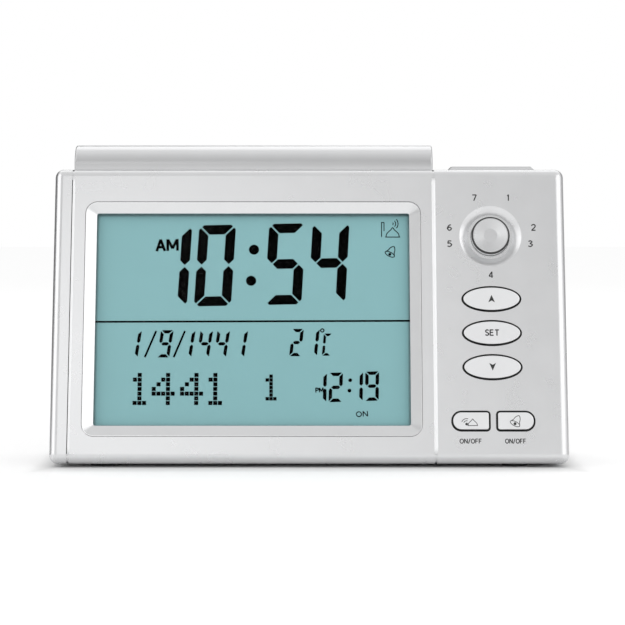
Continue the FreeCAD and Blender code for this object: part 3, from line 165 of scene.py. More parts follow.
def ramped(tree, driver, start, end):
    """0 below start and 1 above end, eased between them."""
    scaled = tree.nodes.new("ShaderNodeMapRange")
    scaled.interpolation_type = "SMOOTHSTEP"
    scaled.inputs["From Min"].default_value = start
    scaled.inputs["From Max"].default_value = end
    tree.links.new(driver, scaled.inputs["Value"])
    return scaled.outputs["Result"]


def blended(tree, share, low, high):
    """A colour that goes from one colour or socket to another with the share."""
    mixed = tree.nodes.new("ShaderNodeMix")
    mixed.data_type = "RGBA"
    tree.links.new(share, mixed.inputs["Factor"])
    for socket, colour in ((mixed.inputs[6], low), (mixed.inputs[7], high)):
        if isinstance(colour, tuple):
            socket.default_value = colour
        else:
            tree.links.new(colour, socket)
    return mixed.outputs[2]


def dent(tree, driver, height):
    """A bump of that height in millimetres, on the shader's normal."""
    bump = tree.nodes.new("ShaderNodeBump")
    bump.inputs["Distance"].default_value = height * MM
    tree.links.new(driver, bump.inputs["Height"])
    tree.links.new(bump.outputs["Normal"], tree.nodes["Principled BSDF"].inputs["Normal"])


def finish(name, colours, patch, roughness, grain, height, sockets=(), stretch=(1, 1, 1)):
    """A finish whose colour and gloss drift over patches, with a fine grain in its surface."""
    material = bpy.data.materials.new(name)
    material.use_nodes = True
    tree = material.node_tree
    shader = tree.nodes["Principled BSDF"]
    drift = noise(tree, patch, stretch)
    tree.links.new(ramp(tree, drift, *colours), shader.inputs["Base Color"])
    tree.links.new(between(tree, drift, *roughness), shader.inputs["Roughness"])
    dent(tree, noise(tree, grain, stretch), height)
    for socket, value in sockets:
        shader.inputs[socket].default_value = value
    return material


COOL = (0.985, 0.99, 1.0)
WARM = (1.0, 0.985, 0.96)
BLUISH = (0.96, 0.975, 1.0)


def paint(name, level, metallic, roughness, bare_and_shade_rule=None, shade=None):
    """Satin silver paint over black plastic. Where a rule gives 1 the black shows: plastic left
    without paint, which also stands in for shade in gaps, and painted shade on the knob's band. A
    second rule darkens the paint with painted shade.
    """
    colours = tone(level * 0.99, COOL), tone(level * 1.01, COOL)
    material = finish(name, colours, 9, (roughness * 0.96, roughness * 1.04), 0.5, 0.0008,
                      [("Coat Weight", 0.15), ("Coat Roughness", 0.25)])
    tree = material.node_tree
    shader = tree.nodes["Principled BSDF"]
    if bare_and_shade_rule is None:
        shader.inputs["Metallic"].default_value = metallic
        return material
    bare_and_shade_share = bare_and_shade_rule(tree)
    painted = shader.inputs["Base Color"].links[0].from_socket
    # Painted shade: the second rule darkens the paint towards black.
    if shade:
        painted = blended(tree, shade(tree), tone(0.0), painted)
    tree.links.new(blended(tree, bare_and_shade_share, painted, BARE_AND_SHADE_BLACK), shader.inputs["Base Color"])
    tree.links.new(calc(tree, "MULTIPLY", calc(tree, "SUBTRACT", 1.0, bare_and_shade_share), metallic),
                   shader.inputs["Metallic"])
    return material


# Black for plastic left without paint, also used as painted shade in gaps and round the knob.
BARE_AND_SHADE_BLACK = tone(0.012)
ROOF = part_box("front_housing")[1]
BAR_FRONT = Vector(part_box("snooze_bar")[0])
KNOB = face(*middle("selector_knob"))

# Where the paint ends and the black shows, in millimetres: plain plastic, also standing in for
# shade in gaps, and painted shade on the knob's band
EASE = 0.1
PAINT_DEPTH = 1.6
OPENING_DEPTH = 0.3
OPENING_INSET = 3.9
KNOB_CAP = 6.62
KNOB_SHADE_LEVEL = 0.55
DISH_REACH = 12.2
DISH_FLOOR = 3.2
KEY_SKIRT_LEVEL = -0.35
TOP_SKIRT_DEPTH = 0.25


def from_knob(tree):
    """The distance from the selector's axis."""
    across, upward = along(tree, SIDEWAYS, KNOB), along(tree, UP, KNOB)
    return calc(tree, "SQRT", calc(tree, "ADD", calc(tree, "MULTIPLY", across, across),
                                   calc(tree, "MULTIPLY", upward, upward)))


def inside_case(tree):
    """1 in the case's openings and hollow, where no paint reaches, except in the dish: plain black
    plastic, which also stands in for the shade there, and painted shade in the face's grooves and
    other shallow recesses.
    """
    half_width = calc(tree, "ABSOLUTE", along(tree, SIDEWAYS, Vector()))
    rear = Vector((0, cad_box[1][1], 0))
    sink = along(tree, -OUT, FOOT)
    edges = least(tree, calc(tree, "SUBTRACT", cad_box[1][0] / MM, half_width),
                  along(tree, Vector((0, -1, 0)), rear), along(tree, Vector((0, 0, -1)), ROOF),
                  along(tree, Vector((0, 0, 1)), FOOT))
    deep = ramped(tree, least(tree, edges, sink), PAINT_DEPTH, PAINT_DEPTH + 0.15)
    # Anything sunk a little into the face, grooves too, goes black: painted shade.
    opening = calc(tree, "MULTIPLY", ramped(tree, sink, OPENING_DEPTH, OPENING_DEPTH + 0.12),
                   ramped(tree, edges, OPENING_INSET, OPENING_INSET + 0.2))
    hidden = calc(tree, "MAXIMUM", deep, opening)
    beside = ramped(tree, from_knob(tree), DISH_REACH, DISH_REACH + EASE)
    below = ramped(tree, sink, DISH_FLOOR, DISH_FLOOR + EASE)
    return calc(tree, "MULTIPLY", hidden, calc(tree, "MAXIMUM", beside, below))


def under_face(tree):
    """1 on the part of a key that is below its visible edge, left black: plastic without paint,
    which also stands in for the shade in the gap round the key.
    """
    return ramped(tree, along(tree, -OUT, FOOT), KEY_SKIRT_LEVEL, KEY_SKIRT_LEVEL + EASE)


def under_top(tree):
    """1 on the part of a top key that is inside the case, left black: plastic without paint, which
    also stands in for the shade in the gap under it.
    """
    sink = along(tree, Vector((0, 0, -1)), ROOF)
    return ramped(tree, sink, TOP_SKIRT_DEPTH, TOP_SKIRT_DEPTH + 0.15)


def round_knob(tree):
    """1 on a band of painted shade round the knob's silver cap, black where the shadow in the gap
    round the knob falls.
    """
    outer = ramped(tree, from_knob(tree), KNOB_CAP, KNOB_CAP + EASE)
    proud = ramped(tree, along(tree, OUT, FOOT), KNOB_SHADE_LEVEL, KNOB_SHADE_LEVEL + EASE)
    return calc(tree, "MULTIPLY", outer, proud)


def plastic(name, level, tint=(1, 1, 1), roughness=0.42, grain=0.3):
    """Moulded plastic with a fine spark-eroded texture."""
    colours = tone(level * 0.9, tint), tone(level * 1.1, tint)
    return finish(name, colours, 5, (roughness * 0.9, roughness * 1.12), grain, 0.01)


def metal(name, level, tint, roughness, stretch=(1, 1, 1)):
    """Bright metal, drawn or rolled along one direction."""
    colours = tone(level * 0.88, tint), tone(level, tint)
    return finish(name, colours, 1.2, (roughness * 0.8, roughness * 1.25), 0.12, 0.003,
                  [("Metallic", 1.0)], stretch)


# Painted shade on the front of the top keys: where it lies, in millimetres, and how much it darkens
# the paint
PAINTED_SHADE_REACH = 8.0, 11.0
PAINTED_SHADE_HEIGHT = 2.7, 6.8
PAINTED_SHADE_FOOT = 0.2, 2.6
FOOT_SHARE = 0.7
PAINTED_SHADE_DEPTH = 0.27


def worn_front(tree):
    """How light the top keys' paint is: painted shade, darkest low on their front where the curve
    turns from the light, lighter at the top, towards the rear and near the foot.
    """
    height = along(tree, Vector((0, 0, 1)), ROOF)
    rear = ramped(tree, along(tree, Vector((0, 1, 0)), BAR_FRONT), *PAINTED_SHADE_REACH)
    high = ramped(tree, height, *PAINTED_SHADE_HEIGHT)
    foot = calc(tree, "SUBTRACT", 1.0, ramped(tree, height, *PAINTED_SHADE_FOOT))
    lightest = calc(tree, "MAXIMUM", calc(tree, "MAXIMUM", high, rear),
                    calc(tree, "MULTIPLY", foot, FOOT_SHARE))
    return calc(tree, "ADD", calc(tree, "MULTIPLY", lightest, PAINTED_SHADE_DEPTH), 1 - PAINTED_SHADE_DEPTH)


case_silver = paint("case_silver_paint", 0.7, 0.82, 0.28, inside_case)
# The top keys' paint is darkened low on their front by painted shade.
top_silver = paint("top_silver_paint", 0.66, 0.82, 0.3, under_top, worn_front)
bezel_silver = paint("bezel_silver_paint", 0.73, 0.82, 0.22)
# The black band on the knob's rim is painted shade for the gap round it.
knob_silver = paint("knob_silver_paint", 0.66, 0.82, 0.26, round_knob)
key_silver = paint("key_silver_paint", 0.79, 0.5, 0.36, under_face)
# The beads' paint is a lighter copy of the silver: a painted highlight along the grooves.
bead_highlight = paint("bead_silver_paint", 0.93, 0.35, 0.4)
black_plastic = plastic("black_plastic", 0.012)
grey_plastic = plastic("grey_plastic", 0.17)
white_plastic = plastic("white_plastic", 0.62, WARM)
milky_plastic = plastic("milky_plastic", 0.75, WARM, 0.3)
part_black = plastic("part_black", 0.02, roughness=0.5)
steel = metal("bright_steel", 0.62, WARM, 0.28, (1, 6, 1))
magnet_grey = metal("magnet_plating", 0.4, BLUISH, 0.38)
lamp_white = plastic("lamp_white", 0.8, WARM, 0.2)
foot_rubber = finish("foot_rubber", (tone(0.022), tone(0.04)), 1.5, (0.75, 0.9), 0.4, 0.03)
contact_rubber = finish("contact_rubber", (tone(0.05), tone(0.08)), 0.7, (0.7, 0.8), 0.2, 0.01)
cone_paper = finish("cone_paper", (tone(0.02), tone(0.05)), 0.9, (0.8, 0.95), 0.35, 0.06)
red_jacket = plastic("wire_red", 0.45, (1, 0.06, 0.05), 0.35)
display_glass = finish("display_glass", (tone(0.5, (0.5, 0.85, 0.8)), tone(0.6, (0.5, 0.85, 0.8))),
                       12, (0.04, 0.07), 3, 0.001, [("Alpha", 0.5)])


def board_finish():
    """Green circuit board with the faint lighter lines of its tracks under the lacquer."""
    material = finish("board_green", (tone(0.06, (0.3, 1, 0.45)), tone(0.1, (0.3, 1, 0.45))),
                      4, (0.25, 0.4), 0.5, 0.01, [("Coat Weight", 0.4)])
    tree = material.node_tree
    cells = tree.nodes.new("ShaderNodeTexVoronoi")
    cells.feature = "DISTANCE_TO_EDGE"
    cells.distance = "EUCLIDEAN"
    cells.inputs["Scale"].default_value = 1 / (3.2 * MM)
    place = tree.nodes.new("ShaderNodeTexCoord")
    tree.links.new(place.outputs["Object"], cells.inputs["Vector"])
    tracks = ramp(tree, cells.outputs["Distance"], tone(0.17, (0.4, 1, 0.45)),
                  tone(0.07, (0.25, 1, 0.45)), 0.05, 0.09)
    tree.links.new(tracks, tree.nodes["Principled BSDF"].inputs["Base Color"])
    return material


def striped_finish(name, axis, pitch, dark, light, roughness):
    """Stripes along a direction, for a ribbon cable and for cell jackets."""
    material = finish(name, (dark, light), 3, roughness, 0.4, 0.008)
    tree = material.node_tree
    stripes = tree.nodes.new("ShaderNodeTexWave")
    stripes.bands_direction = axis
    stripes.inputs["Scale"].default_value = math.tau / (20 * pitch * MM)
    stripes.inputs["Distortion"].default_value = 0.0
    place = tree.nodes.new("ShaderNodeTexCoord")
    tree.links.new(place.outputs["Object"], stripes.inputs["Vector"])
    shown = ramp(tree, stripes.outputs["Fac"], dark, light, 0.35, 0.5)
    tree.links.new(shown, tree.nodes["Principled BSDF"].inputs["Base Color"])
    return material


board_green = board_finish()
ribbon_grey = striped_finish("ribbon_cable", "X", 1.27, tone(0.3), tone(0.42), (0.4, 0.5))
cell_jacket = striped_finish("cell_jacket", "X", 26, tone(0.03, BLUISH), tone(0.5, (1, 0.55, 0.18)),
                             (0.25, 0.35))


# Painted shade round the display's edge, in millimetres: how far inside the window's edge it lies,
# and how wide its fade is.
WINDOW_LAP = 2.2
EDGE_SHADE = 1.1


def film_finish():
    """The display's teal reflecting film, with painted shade darkening it round the edge, where the
    bezel shades it.
    """
    teal, edge_shade_tone = (0.292, 0.557, 0.582), (0.17, 0.275, 0.29)
    colours = [tone(shade, teal) for shade in (0.99, 1.01)]
    material = finish("display_teal", colours, 14, (0.5, 0.6), 0.4, 0.002,
                      [("Specular IOR Level", 0.2)])
    tree = material.node_tree
    shader = tree.nodes["Principled BSDF"]
    low, high = span("display_window")
    centre = face(*middle("display_window"))
    inset = []
    for axis, reach in ((SIDEWAYS, high[0] - low[0]), (UP, high[1] - low[1])):
        off = calc(tree, "ABSOLUTE", along(tree, axis, centre))
        inset.append(calc(tree, "SUBTRACT", reach / 2 - WINDOW_LAP, off))
    # The film is darkened near the window's edge: painted shade.
    clear = ramped(tree, least(tree, *inset), -0.2, EDGE_SHADE)
    open_film = shader.inputs["Base Color"].links[0].from_socket
    tree.links.new(blended(tree, clear, tone(1, edge_shade_tone), open_film), shader.inputs["Base Color"])
    return material


def pane_finish():
    """Clear window: the light goes straight through, and only a little gloss is left."""
    return finish("clear_window", (tone(0.004), tone(0.006)), 20, (0.03, 0.06), 5, 0.0005,
                  [("Alpha", 0.03), ("IOR", 1.49)])


display_teal = film_finish()
clear_window = pane_finish()
crystal_black = finish("crystal_black", (tone(0.0006), tone(0.0012)), 2, (0.35, 0.5), 0.3, 0.001,
                       [("Specular IOR Level", 0.0)])
ink_black = finish("ink_black", (tone(0.012), tone(0.022)), 1, (0.45, 0.6), 0.15, 0.002)

FINISHES = (
    (case_silver, ("front_housing", "rear_housing", "battery_door")),
    (bezel_silver, ("display_bezel",)),
    (knob_silver, ("selector_knob",)),
    (top_silver, ("snooze_bar", "light_key")),
    (key_silver, ("up_key", "set_key", "down_key", "call_key", "alarm_key")),
    (clear_window, ("display_window",)),
    (display_teal, ("lcd_front_film", "lcd_rear_film")),
    (display_glass, ("lcd_glass",)),
    (milky_plastic, ("backlight_guide",)),
    (lamp_white, ("backlight_leds",)),
    (black_plastic, ("lcd_holder", "key_switch_bodies", "selector_switch", "top_switch_bodies",
                     "speaker_frame")),
    (grey_plastic, ("up_plunger", "set_plunger", "down_plunger", "call_plunger", "alarm_plunger",
                    "snooze_plunger", "light_plunger", "selector_shaft", "speaker_clamps")),
    (contact_rubber, ("zebra_strips",)),
    (board_green, ("main_board", "key_board", "top_board")),
    (part_black, ("main_chips", "board_components", "temperature_sensor")),
    (steel, ("housing_screws", "board_screws", "key_board_screws", "top_board_screws",
             "speaker_screws", "battery_contacts", "battery_springs")),
    (foot_rubber, ("rubber_feet",)),
    (cell_jacket, ("batteries",)),
    (cone_paper, ("speaker_cone",)),
    (magnet_grey, ("speaker_magnet",)),
    (ribbon_grey, ("flat_cable",)),
    (red_jacket, ("speaker_wires", "battery_wires")),
)


def dress(node, material):
    """Gives a solid its finish in every material slot."""
    mesh = nodes[node].data
    for index in range(max(1, len(mesh.materials))):
        if index < len(mesh.materials):
            mesh.materials[index] = material
        else:
            mesh.materials.append(material)


for material, dressed in FINISHES:
    for node in dressed:
        dress(node, material)

# ------------------------------------------------------- flat work on the face

PRINT = 0.03
CIRCLE_STEPS = 48


def slab(name, outlines, low, high, material, body):
    """Thin plates with the given outlines, from level low to level high above the face."""
    shape = bmesh.new()
    for outline in outlines:
        under = [shape.verts.new(face(x, v, low)) for x, v in outline]
        over = [shape.verts.new(face(x, v, high)) for x, v in outline]
        shape.faces.new(under[::-1])
        shape.faces.new(over)
        for index in range(len(outline)):
            after = (index + 1) % len(outline)
            shape.faces.new((under[index], under[after], over[after], over[index]))
    bmesh.ops.recalc_face_normals(shape, faces=shape.faces)
    return settle(name, shape, material, body)


def settle(name, shape, material, body):
    """Turns a worked mesh into a piece that rides on a body."""
    mesh = bpy.data.meshes.new(name)
    shape.to_mesh(mesh)
    shape.free()
    mesh.materials.append(material)
    piece = bpy.data.objects.new(name, mesh)
    bpy.context.scene.collection.objects.link(piece)
    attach(piece, body)
    return piece


def disc(x, v, radius, steep=1.0):
    """A circle, or an upright oval, as an outline."""
    turns = [math.tau * step / CIRCLE_STEPS for step in range(CIRCLE_STEPS)]
    return [(x + radius * math.cos(turn), v + radius * steep * math.sin(turn)) for turn in turns]


def turned(points, angle, x=0.0, v=0.0, size=1.0):
    """Points scaled, turned by an angle in degrees and moved to x, v."""
    cosine, sine = math.cos(math.radians(angle)), math.sin(math.radians(angle))
    return [(x + size * (a * cosine - b * sine), v + size * (a * sine + b * cosine))
            for a, b in points]


def slanted(points, angle, level=0.0):
    """Points leaned to the right by an angle, about a level."""
    lean = math.tan(math.radians(angle))
    return [(x + (v - level) * lean, v) for x, v in points]


def side_offset(start, end, distance):
    """The step to the left of a run, as long as the distance."""
    run = math.hypot(end[0] - start[0], end[1] - start[1])
    return (-(end[1] - start[1]) / run * distance, (end[0] - start[0]) / run * distance)


def crossing(a, b, c, d):
    """Where line a-b meets line c-d, or b where they are parallel."""
    run, other = (b[0] - a[0], b[1] - a[1]), (d[0] - c[0], d[1] - c[1])
    slope = run[0] * other[1] - run[1] * other[0]
    if abs(slope) < 1e-9:
        return b
    share = ((c[0] - a[0]) * other[1] - (c[1] - a[1]) * other[0]) / slope
    return (a[0] + run[0] * share, a[1] + run[1] * share)


def shrunk(points, distance):
    """An outline moved inwards on every side."""
    count = len(points)
    area = sum(points[i][0] * points[(i + 1) % count][1] - points[(i + 1) % count][0] * points[i][1]
               for i in range(count))
    inward = distance if area > 0 else -distance
    sides = []
    for index in range(count):
        start, end = points[index], points[(index + 1) % count]
        step = side_offset(start, end, inward)
        sides.append(((start[0] + step[0], start[1] + step[1]),
                      (end[0] + step[0], end[1] + step[1])))
    return [crossing(*sides[index - 1], *sides[index]) for index in range(count)]


def line(points, width, closed=False):
    """A drawn line of that width, as one outline for each of its runs."""
    count = len(points)
    runs = range(count if closed else count - 1)
    edges = []
    for index in runs:
        start, end = points[index], points[(index + 1) % count]
        step = side_offset(start, end, width / 2)
        edges.append([[(start[0] + step[0] * side, start[1] + step[1] * side),
                       (end[0] + step[0] * side, end[1] + step[1] * side)] for side in (1, -1)])
    corners = {}
    for index in range(count):
        before, after = (index - 1) % count, index
        if not closed and index in (0, count - 1):
            whole = edges[0] if index == 0 else edges[-1]
            corners[index] = [whole[side][0 if index == 0 else 1] for side in (0, 1)]
        else:
            corners[index] = [crossing(*edges[before][side], *edges[after][side])
                              for side in (0, 1)]
    return [[corners[index][0], corners[(index + 1) % count][0],
             corners[(index + 1) % count][1], corners[index][1]] for index in runs]


def curve(points, steps=6, closed=False):
    """A smooth line through the points."""
    count = len(points)
    found = []
    for index in range(count if closed else count - 1):
        if closed:
            four = [points[(index + shift) % count] for shift in (-1, 0, 1, 2)]
        else:
            four = [points[min(max(index + shift, 0), count - 1)] for shift in (-1, 0, 1, 2)]
        for step in range(steps):
            t = step / steps
            found.append(tuple(
                0.5 * (2 * b + (c - a) * t + (2 * a - 5 * b + 4 * c - d) * t ** 2
                       + (3 * b - a - 3 * c + d) * t ** 3) for a, b, c, d in zip(*four)))
    return found if closed else found + [points[-1]]


# The strokes of each character, one unit high. A stroke that starts with "~" is curved.
LETTERS = {
    "A": [[(0, 0), (0.36, 1)], [(0.72, 0), (0.36, 1)], [(0.15, 0.34), (0.57, 0.34)]],
    "E": [[(0, 0), (0, 1)], [(0, 0.94), (0.55, 0.94)], [(0, 0.52), (0.5, 0.52)],
          [(0, 0.06), (0.57, 0.06)]],
    "F": [[(0, 0), (0, 1)], [(0, 0.94), (0.55, 0.94)], [(0, 0.5), (0.48, 0.5)]],
    "M": [[(0, 0), (0, 1)], [(0.86, 0), (0.86, 1)], [(0.04, 0.96), (0.43, 0.2)],
          [(0.82, 0.96), (0.43, 0.2)]],
    "N": [[(0, 0), (0, 1)], [(0.68, 0), (0.68, 1)], [(0.03, 0.97), (0.65, 0.03)]],
    "O": [["~", (0.4, 0.96), (0.12, 0.82), (0.0, 0.5), (0.12, 0.18), (0.4, 0.04), (0.68, 0.18),
           (0.8, 0.5), (0.68, 0.82), (0.4, 0.96)]],
    "P": [[(0, 0), (0, 1)], ["~", (0, 0.94), (0.4, 0.94), (0.6, 0.72), (0.4, 0.5), (0, 0.5)]],
    "S": [["~", (0.56, 0.84), (0.32, 0.96), (0.06, 0.8), (0.14, 0.58), (0.44, 0.44), (0.56, 0.24),
           (0.32, 0.04), (0.0, 0.17)]],
    "T": [[(0.33, 0), (0.33, 1)], [(0, 0.94), (0.66, 0.94)]],
    "/": [[(0, -0.04), (0.4, 1.04)]],
    "1": [[(0.25, 0), (0.25, 1)], [(0.27, 0.97), (0.0, 0.77)]],
    "2": [["~", (0.02, 0.74), (0.16, 0.94), (0.42, 0.94), (0.54, 0.72), (0.4, 0.45), (0.02, 0.05)],
          [(0.0, 0.05), (0.57, 0.05)]],
    "3": [["~", (0.03, 0.84), (0.26, 0.96), (0.5, 0.78), (0.22, 0.54)],
          ["~", (0.22, 0.54), (0.55, 0.32), (0.28, 0.04), (0.0, 0.16)]],
    "4": [[(0.45, 0), (0.45, 1)], [(0.45, 0.97), (0.02, 0.3)], [(0.0, 0.28), (0.62, 0.28)]],
    "5": [[(0.08, 0.94), (0.52, 0.94)], [(0.1, 0.96), (0.05, 0.52)],
          ["~", (0.04, 0.53), (0.28, 0.62), (0.55, 0.35), (0.3, 0.04), (0.0, 0.14)]],
    "6": [["~", (0.48, 0.93), (0.24, 0.84), (0.04, 0.5), (0.04, 0.26), (0.28, 0.04), (0.53, 0.3),
           (0.28, 0.56), (0.05, 0.34)]],
    "7": [[(0.0, 0.94), (0.56, 0.94)], [(0.54, 0.94), (0.18, 0)]],
}
LETTER_GAP = 0.26


def written(text, x, v, height, width, stroke, angle=0.0):
    """Characters drawn in strokes about x, v, fitted to a width."""
    drawn, left = [], 0.0
    for letter in text:
        strokes = [part[1:] if part[0] == "~" else part for part in LETTERS[letter]]
        curved = [part[0] == "~" for part in LETTERS[letter]]
        for points, bent in zip(strokes, curved):
            moved = [(left + a, b) for a, b in points]
            drawn.append(curve(moved, 5) if bent else moved)
        left += max(a for points in strokes for a, b in points) + LETTER_GAP
    reach = left - LETTER_GAP
    found = []
    for points in drawn:
        sized = [((a / reach - 0.5) * (width - stroke), (b - 0.5) * (height - stroke))
                 for a, b in points]
        found += line(turned(sized, angle, x, v), stroke)
    return found


# ------------------------------------------------------------------ display

film_low, film_high = span("lcd_front_film")
SCREEN = (film_low[0] + film_high[0]) / 2, (film_low[1] + film_high[1]) / 2
FILM = film_high[2]
CRYSTAL_FOOT = FILM + 0.01
CRYSTAL = FILM + 0.05
PANE_GAP = 0.15
PANE_CORNER = 2.2
PANE_BEVEL = 0.25
SIGN_STROKE = 0.34


def on_screen(points):
    """Points given from the display's centre, on the face."""
    return [(SCREEN[0] + x, SCREEN[1] + v) for x, v in points]


def show(name, outlines):
    """Dark marks of the liquid crystal, just in front of the film."""
    placed = [on_screen(outline) for outline in outlines]
    return slab(name, placed, CRYSTAL_FOOT, CRYSTAL, crystal_black, "root")


BARS_LIT = {"0": "abcdef", "1": "bc", "2": "abged", "4": "fgbc", "5": "afgcd", "9": "abcdfg",
            "C": "afed"}


def bars(width, height, stroke, cut, gap):
    """The seven bars of a digit, with its lower left corner at 0, 0."""
    half, centre = stroke / 2, height / 2
    top = [(cut, height), (width - cut, height), (width - cut / 2, height - cut / 2),
           (width - stroke, height - stroke), (stroke, height - stroke),
           (cut / 2, height - cut / 2)]
    side = [(width, height - cut), (width, centre + half), (width - half, centre),
            (width - stroke, centre + half), (width - stroke, height - stroke),
            (width - cut / 2, height - cut / 2)]
    middle_bar = [(half, centre), (stroke, centre + half), (width - stroke, centre + half),
                  (width - half, centre), (width - stroke, centre - half), (stroke, centre - half)]
    whole = {"a": top, "b": side, "g": middle_bar,
             "c": [(x, height - v) for x, v in side], "d": [(x, height - v) for x, v in top],
             "f": [(width - x, v) for x, v in side],
             "e": [(width - x, height - v) for x, v in side]}
    return {letter: shrunk(outline, gap / 2) for letter, outline in whole.items()}


def digit_row(text, rights, base, width, height, stroke, slant, tilt, gap):
    """A row of digits, each with its right edge at mid height given, turned by tilt."""
    found = []
    shapes = bars(width + gap, height + gap, stroke + gap, 0.55 * stroke, gap)
    for letter, right in zip(text, rights):
        for bar in BARS_LIT[letter]:
            leaned = slanted(shapes[bar], slant, (height + gap) / 2)
            moved = [(x + right - width - gap / 2, v - gap / 2) for x, v in leaned]
            rise = (right - rights[0]) * math.tan(math.radians(tilt))
            found.append(turned([(x - right, v) for x, v in moved], tilt, right, base + rise))
    return found


show("display_hours", digit_row("1054", (-24.1, -7.2, 19.8, 36.6), 5.25, 14.2, 31.9, 3.75, 4.4,
                                1.2, 0.55))
show("display_colon", [disc(0.32, 27.6, 1.95), disc(-0.75, 15.35, 1.95)])
show("display_date", digit_row("191441", (-43.1, -31.0, -22.6, -15.9, -9.4, -2.5), -14.6, 4.8, 10.6,
                               1.25, 8.4, 0.0, 0.4))
SLASH = (-2.1, -5.1), (2.1, 5.1)
show("display_slashes", line(turned(SLASH, 0, -39.0, -9.4), 0.75)
     + line(turned(SLASH, 0, -28.0, -9.4), 0.75))
show("display_degrees", digit_row("21", (19.0, 25.1), -14.1, 4.5, 10.6, 1.25, 6.0, 0.0, 0.4)
     + digit_row("C", (30.1,), -13.9, 3.3, 8.6, 1.0, 5.0, 0.0, 0.35)
     + line(disc(26.6, -4.1, 0.62), 0.42, closed=True))
show("display_alarm_time", digit_row("1219", (28.4, 34.5, 42.2, 48.3), -31.9, 5.25, 11.3, 1.3, 3.2,
                                     1.9, 0.4)
     + [disc(37.2, -23.4, 0.72), disc(36.9, -27.4, 0.72)])
show("display_divider", line([(film_low[0] - SCREEN[0] + 0.6, -0.75),
                              (film_high[0] - SCREEN[0] - 0.6, -0.35)], 0.72))

DOTS = {"1": ("010", "110", "010", "010", "010", "010", "111"),
        "4": ("00010", "00110", "01010", "10010", "11111", "00010", "00010")}


def dot_rows(text, left, top, pitch, dot):
    """Square dots of plain numerals, in rows from the top."""
    found = []
    for letter in text:
        pattern = DOTS[letter]
        for row, cells in enumerate(pattern):
            for column, lit in enumerate(cells):
                if lit == "1":
                    x, v = left + column * pitch, top - row * pitch
                    found.append([(x, v - dot), (x + dot, v - dot), (x + dot, v), (x, v)])
        left += (len(pattern[0]) + 1) * pitch
    return found


show("display_year_dots", dot_rows("1441", -45.5, -20.6, 1.8, 1.55))
show("display_day_dots", dot_rows("1", 5.0, -21.2, 1.45, 1.3))
show("display_am", written("AM", -33.2, 29.4, 5.6, 9.0, 1.02, 1.5))
show("display_pm", written("PM", 25.5, -27.2, 2.2, 3.2, 0.42, 3))
show("display_on", written("ON", 41.6, -36.4, 2.4, 4.6, 0.36, 3))


BELL_LEAN = -28


def bell_marks(x, v, size, angle, width):
    """A hand bell tipped to one side: its mouth, its body and the clapper."""
    mouth = disc(0, -0.55, 0.85, 0.42)
    side = curve([(-0.85, -0.5), (-0.55, 0.0), (-0.42, 0.5), (0.0, 0.95), (0.42, 0.5), (0.55, 0.0),
                  (0.85, -0.5)])
    drawn = line(turned(mouth, angle, x, v, size), width, closed=True)
    drawn += line(turned(side, angle, x, v, size), width)
    return drawn + [disc(*turned([(0, -0.55)], angle, x, v, size)[0], 0.24 * size)]


def call_marks(x, v, size, width, tower):
    """A dome beside a sounder with its waves."""
    dome = curve([(-0.5, -0.8), (-0.4, -0.4), (0.05, 0.05), (0.25, 0.3), (0.45, 0.05), (0.9, -0.4),
                  (1.0, -0.8)])
    drawn = line(turned(dome, 0, x, v, size), width)
    drawn += line(turned([(-0.6, -0.8), (1.1, -0.8)], 0, x, v, size), width)
    if tower:
        post = [(-1.0, -0.8), (-1.0, 0.9), (-0.72, 0.9), (-0.72, -0.1)]
        drawn += line(turned(post, 0, x, v, size), width)
        centre, waves, side = (0.1, 0.75), (0.22, 0.5, 0.78), 0
    else:
        drawn.append(disc(x - 0.75 * size, v - 0.55 * size, 0.22 * size))
        centre, waves, side = (-0.75, -0.5), (0.5, 0.85), 115
    for reach in waves:
        arc = [(centre[0] + reach * math.cos(math.radians(side + turn)),
                centre[1] + reach * math.sin(math.radians(side + turn)))
               for turn in range(-42, 43, 12)]
        drawn += line(turned(arc, 0, x, v, size), width)
    return drawn


show("display_call_sign", call_marks(52.9, 35.3, 3.4, SIGN_STROKE, tower=True))
show("display_bell_sign", bell_marks(53.2, 26.9, 2.3, BELL_LEAN, SIGN_STROKE))


def window_pane():
    """The clear window, a little thinner than its solid, with its front edge broken."""
    low, high = span("display_window")
    shape = bmesh.new()

    def ring(inset, level):
        corners = ((high[0], high[1], 0), (low[0], high[1], 90), (low[0], low[1], 180),
                   (high[0], low[1], 270))
        found = []
        for x, v, start in corners:
            x_in = x - PANE_CORNER if x == high[0] else x + PANE_CORNER
            v_in = v - PANE_CORNER if v == high[1] else v + PANE_CORNER
            radius = PANE_CORNER - inset
            for turn in range(0, 91, 15):
                angle = math.radians(start + turn)
                found.append(shape.verts.new(face(x_in + radius * math.cos(angle),
                                                  v_in + radius * math.sin(angle), level)))
        return found

    rings = [ring(0, low[2] + PANE_GAP), ring(0, high[2] - PANE_BEVEL),
             ring(PANE_BEVEL, high[2])]
    shape.faces.new(rings[0][::-1])
    shape.faces.new(rings[-1])
    for under, over in zip(rings, rings[1:]):
        for index in range(len(under)):
            after = (index + 1) % len(under)
            shape.faces.new((under[index], under[after], over[after], over[index]))
    bmesh.ops.recalc_face_normals(shape, faces=shape.faces)
    pane = settle("window_pane", shape, clear_window, "root")
    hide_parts("display_window")


window_pane()

# ------------------------------------------------------- signs on the keys and the face

FACE_TOP = 0.01
KEY_STROKE = 0.24
LABEL_DROP = 2.85


def on_key(key, outlines_at):
    """Signs printed on the top of a key, drawn about the key's centre."""
    x, v = middle(key)
    top = span(key)[1][2] + FACE_TOP
    slab(key + "_sign", outlines_at(x, v), top, top + PRINT, ink_black, key)


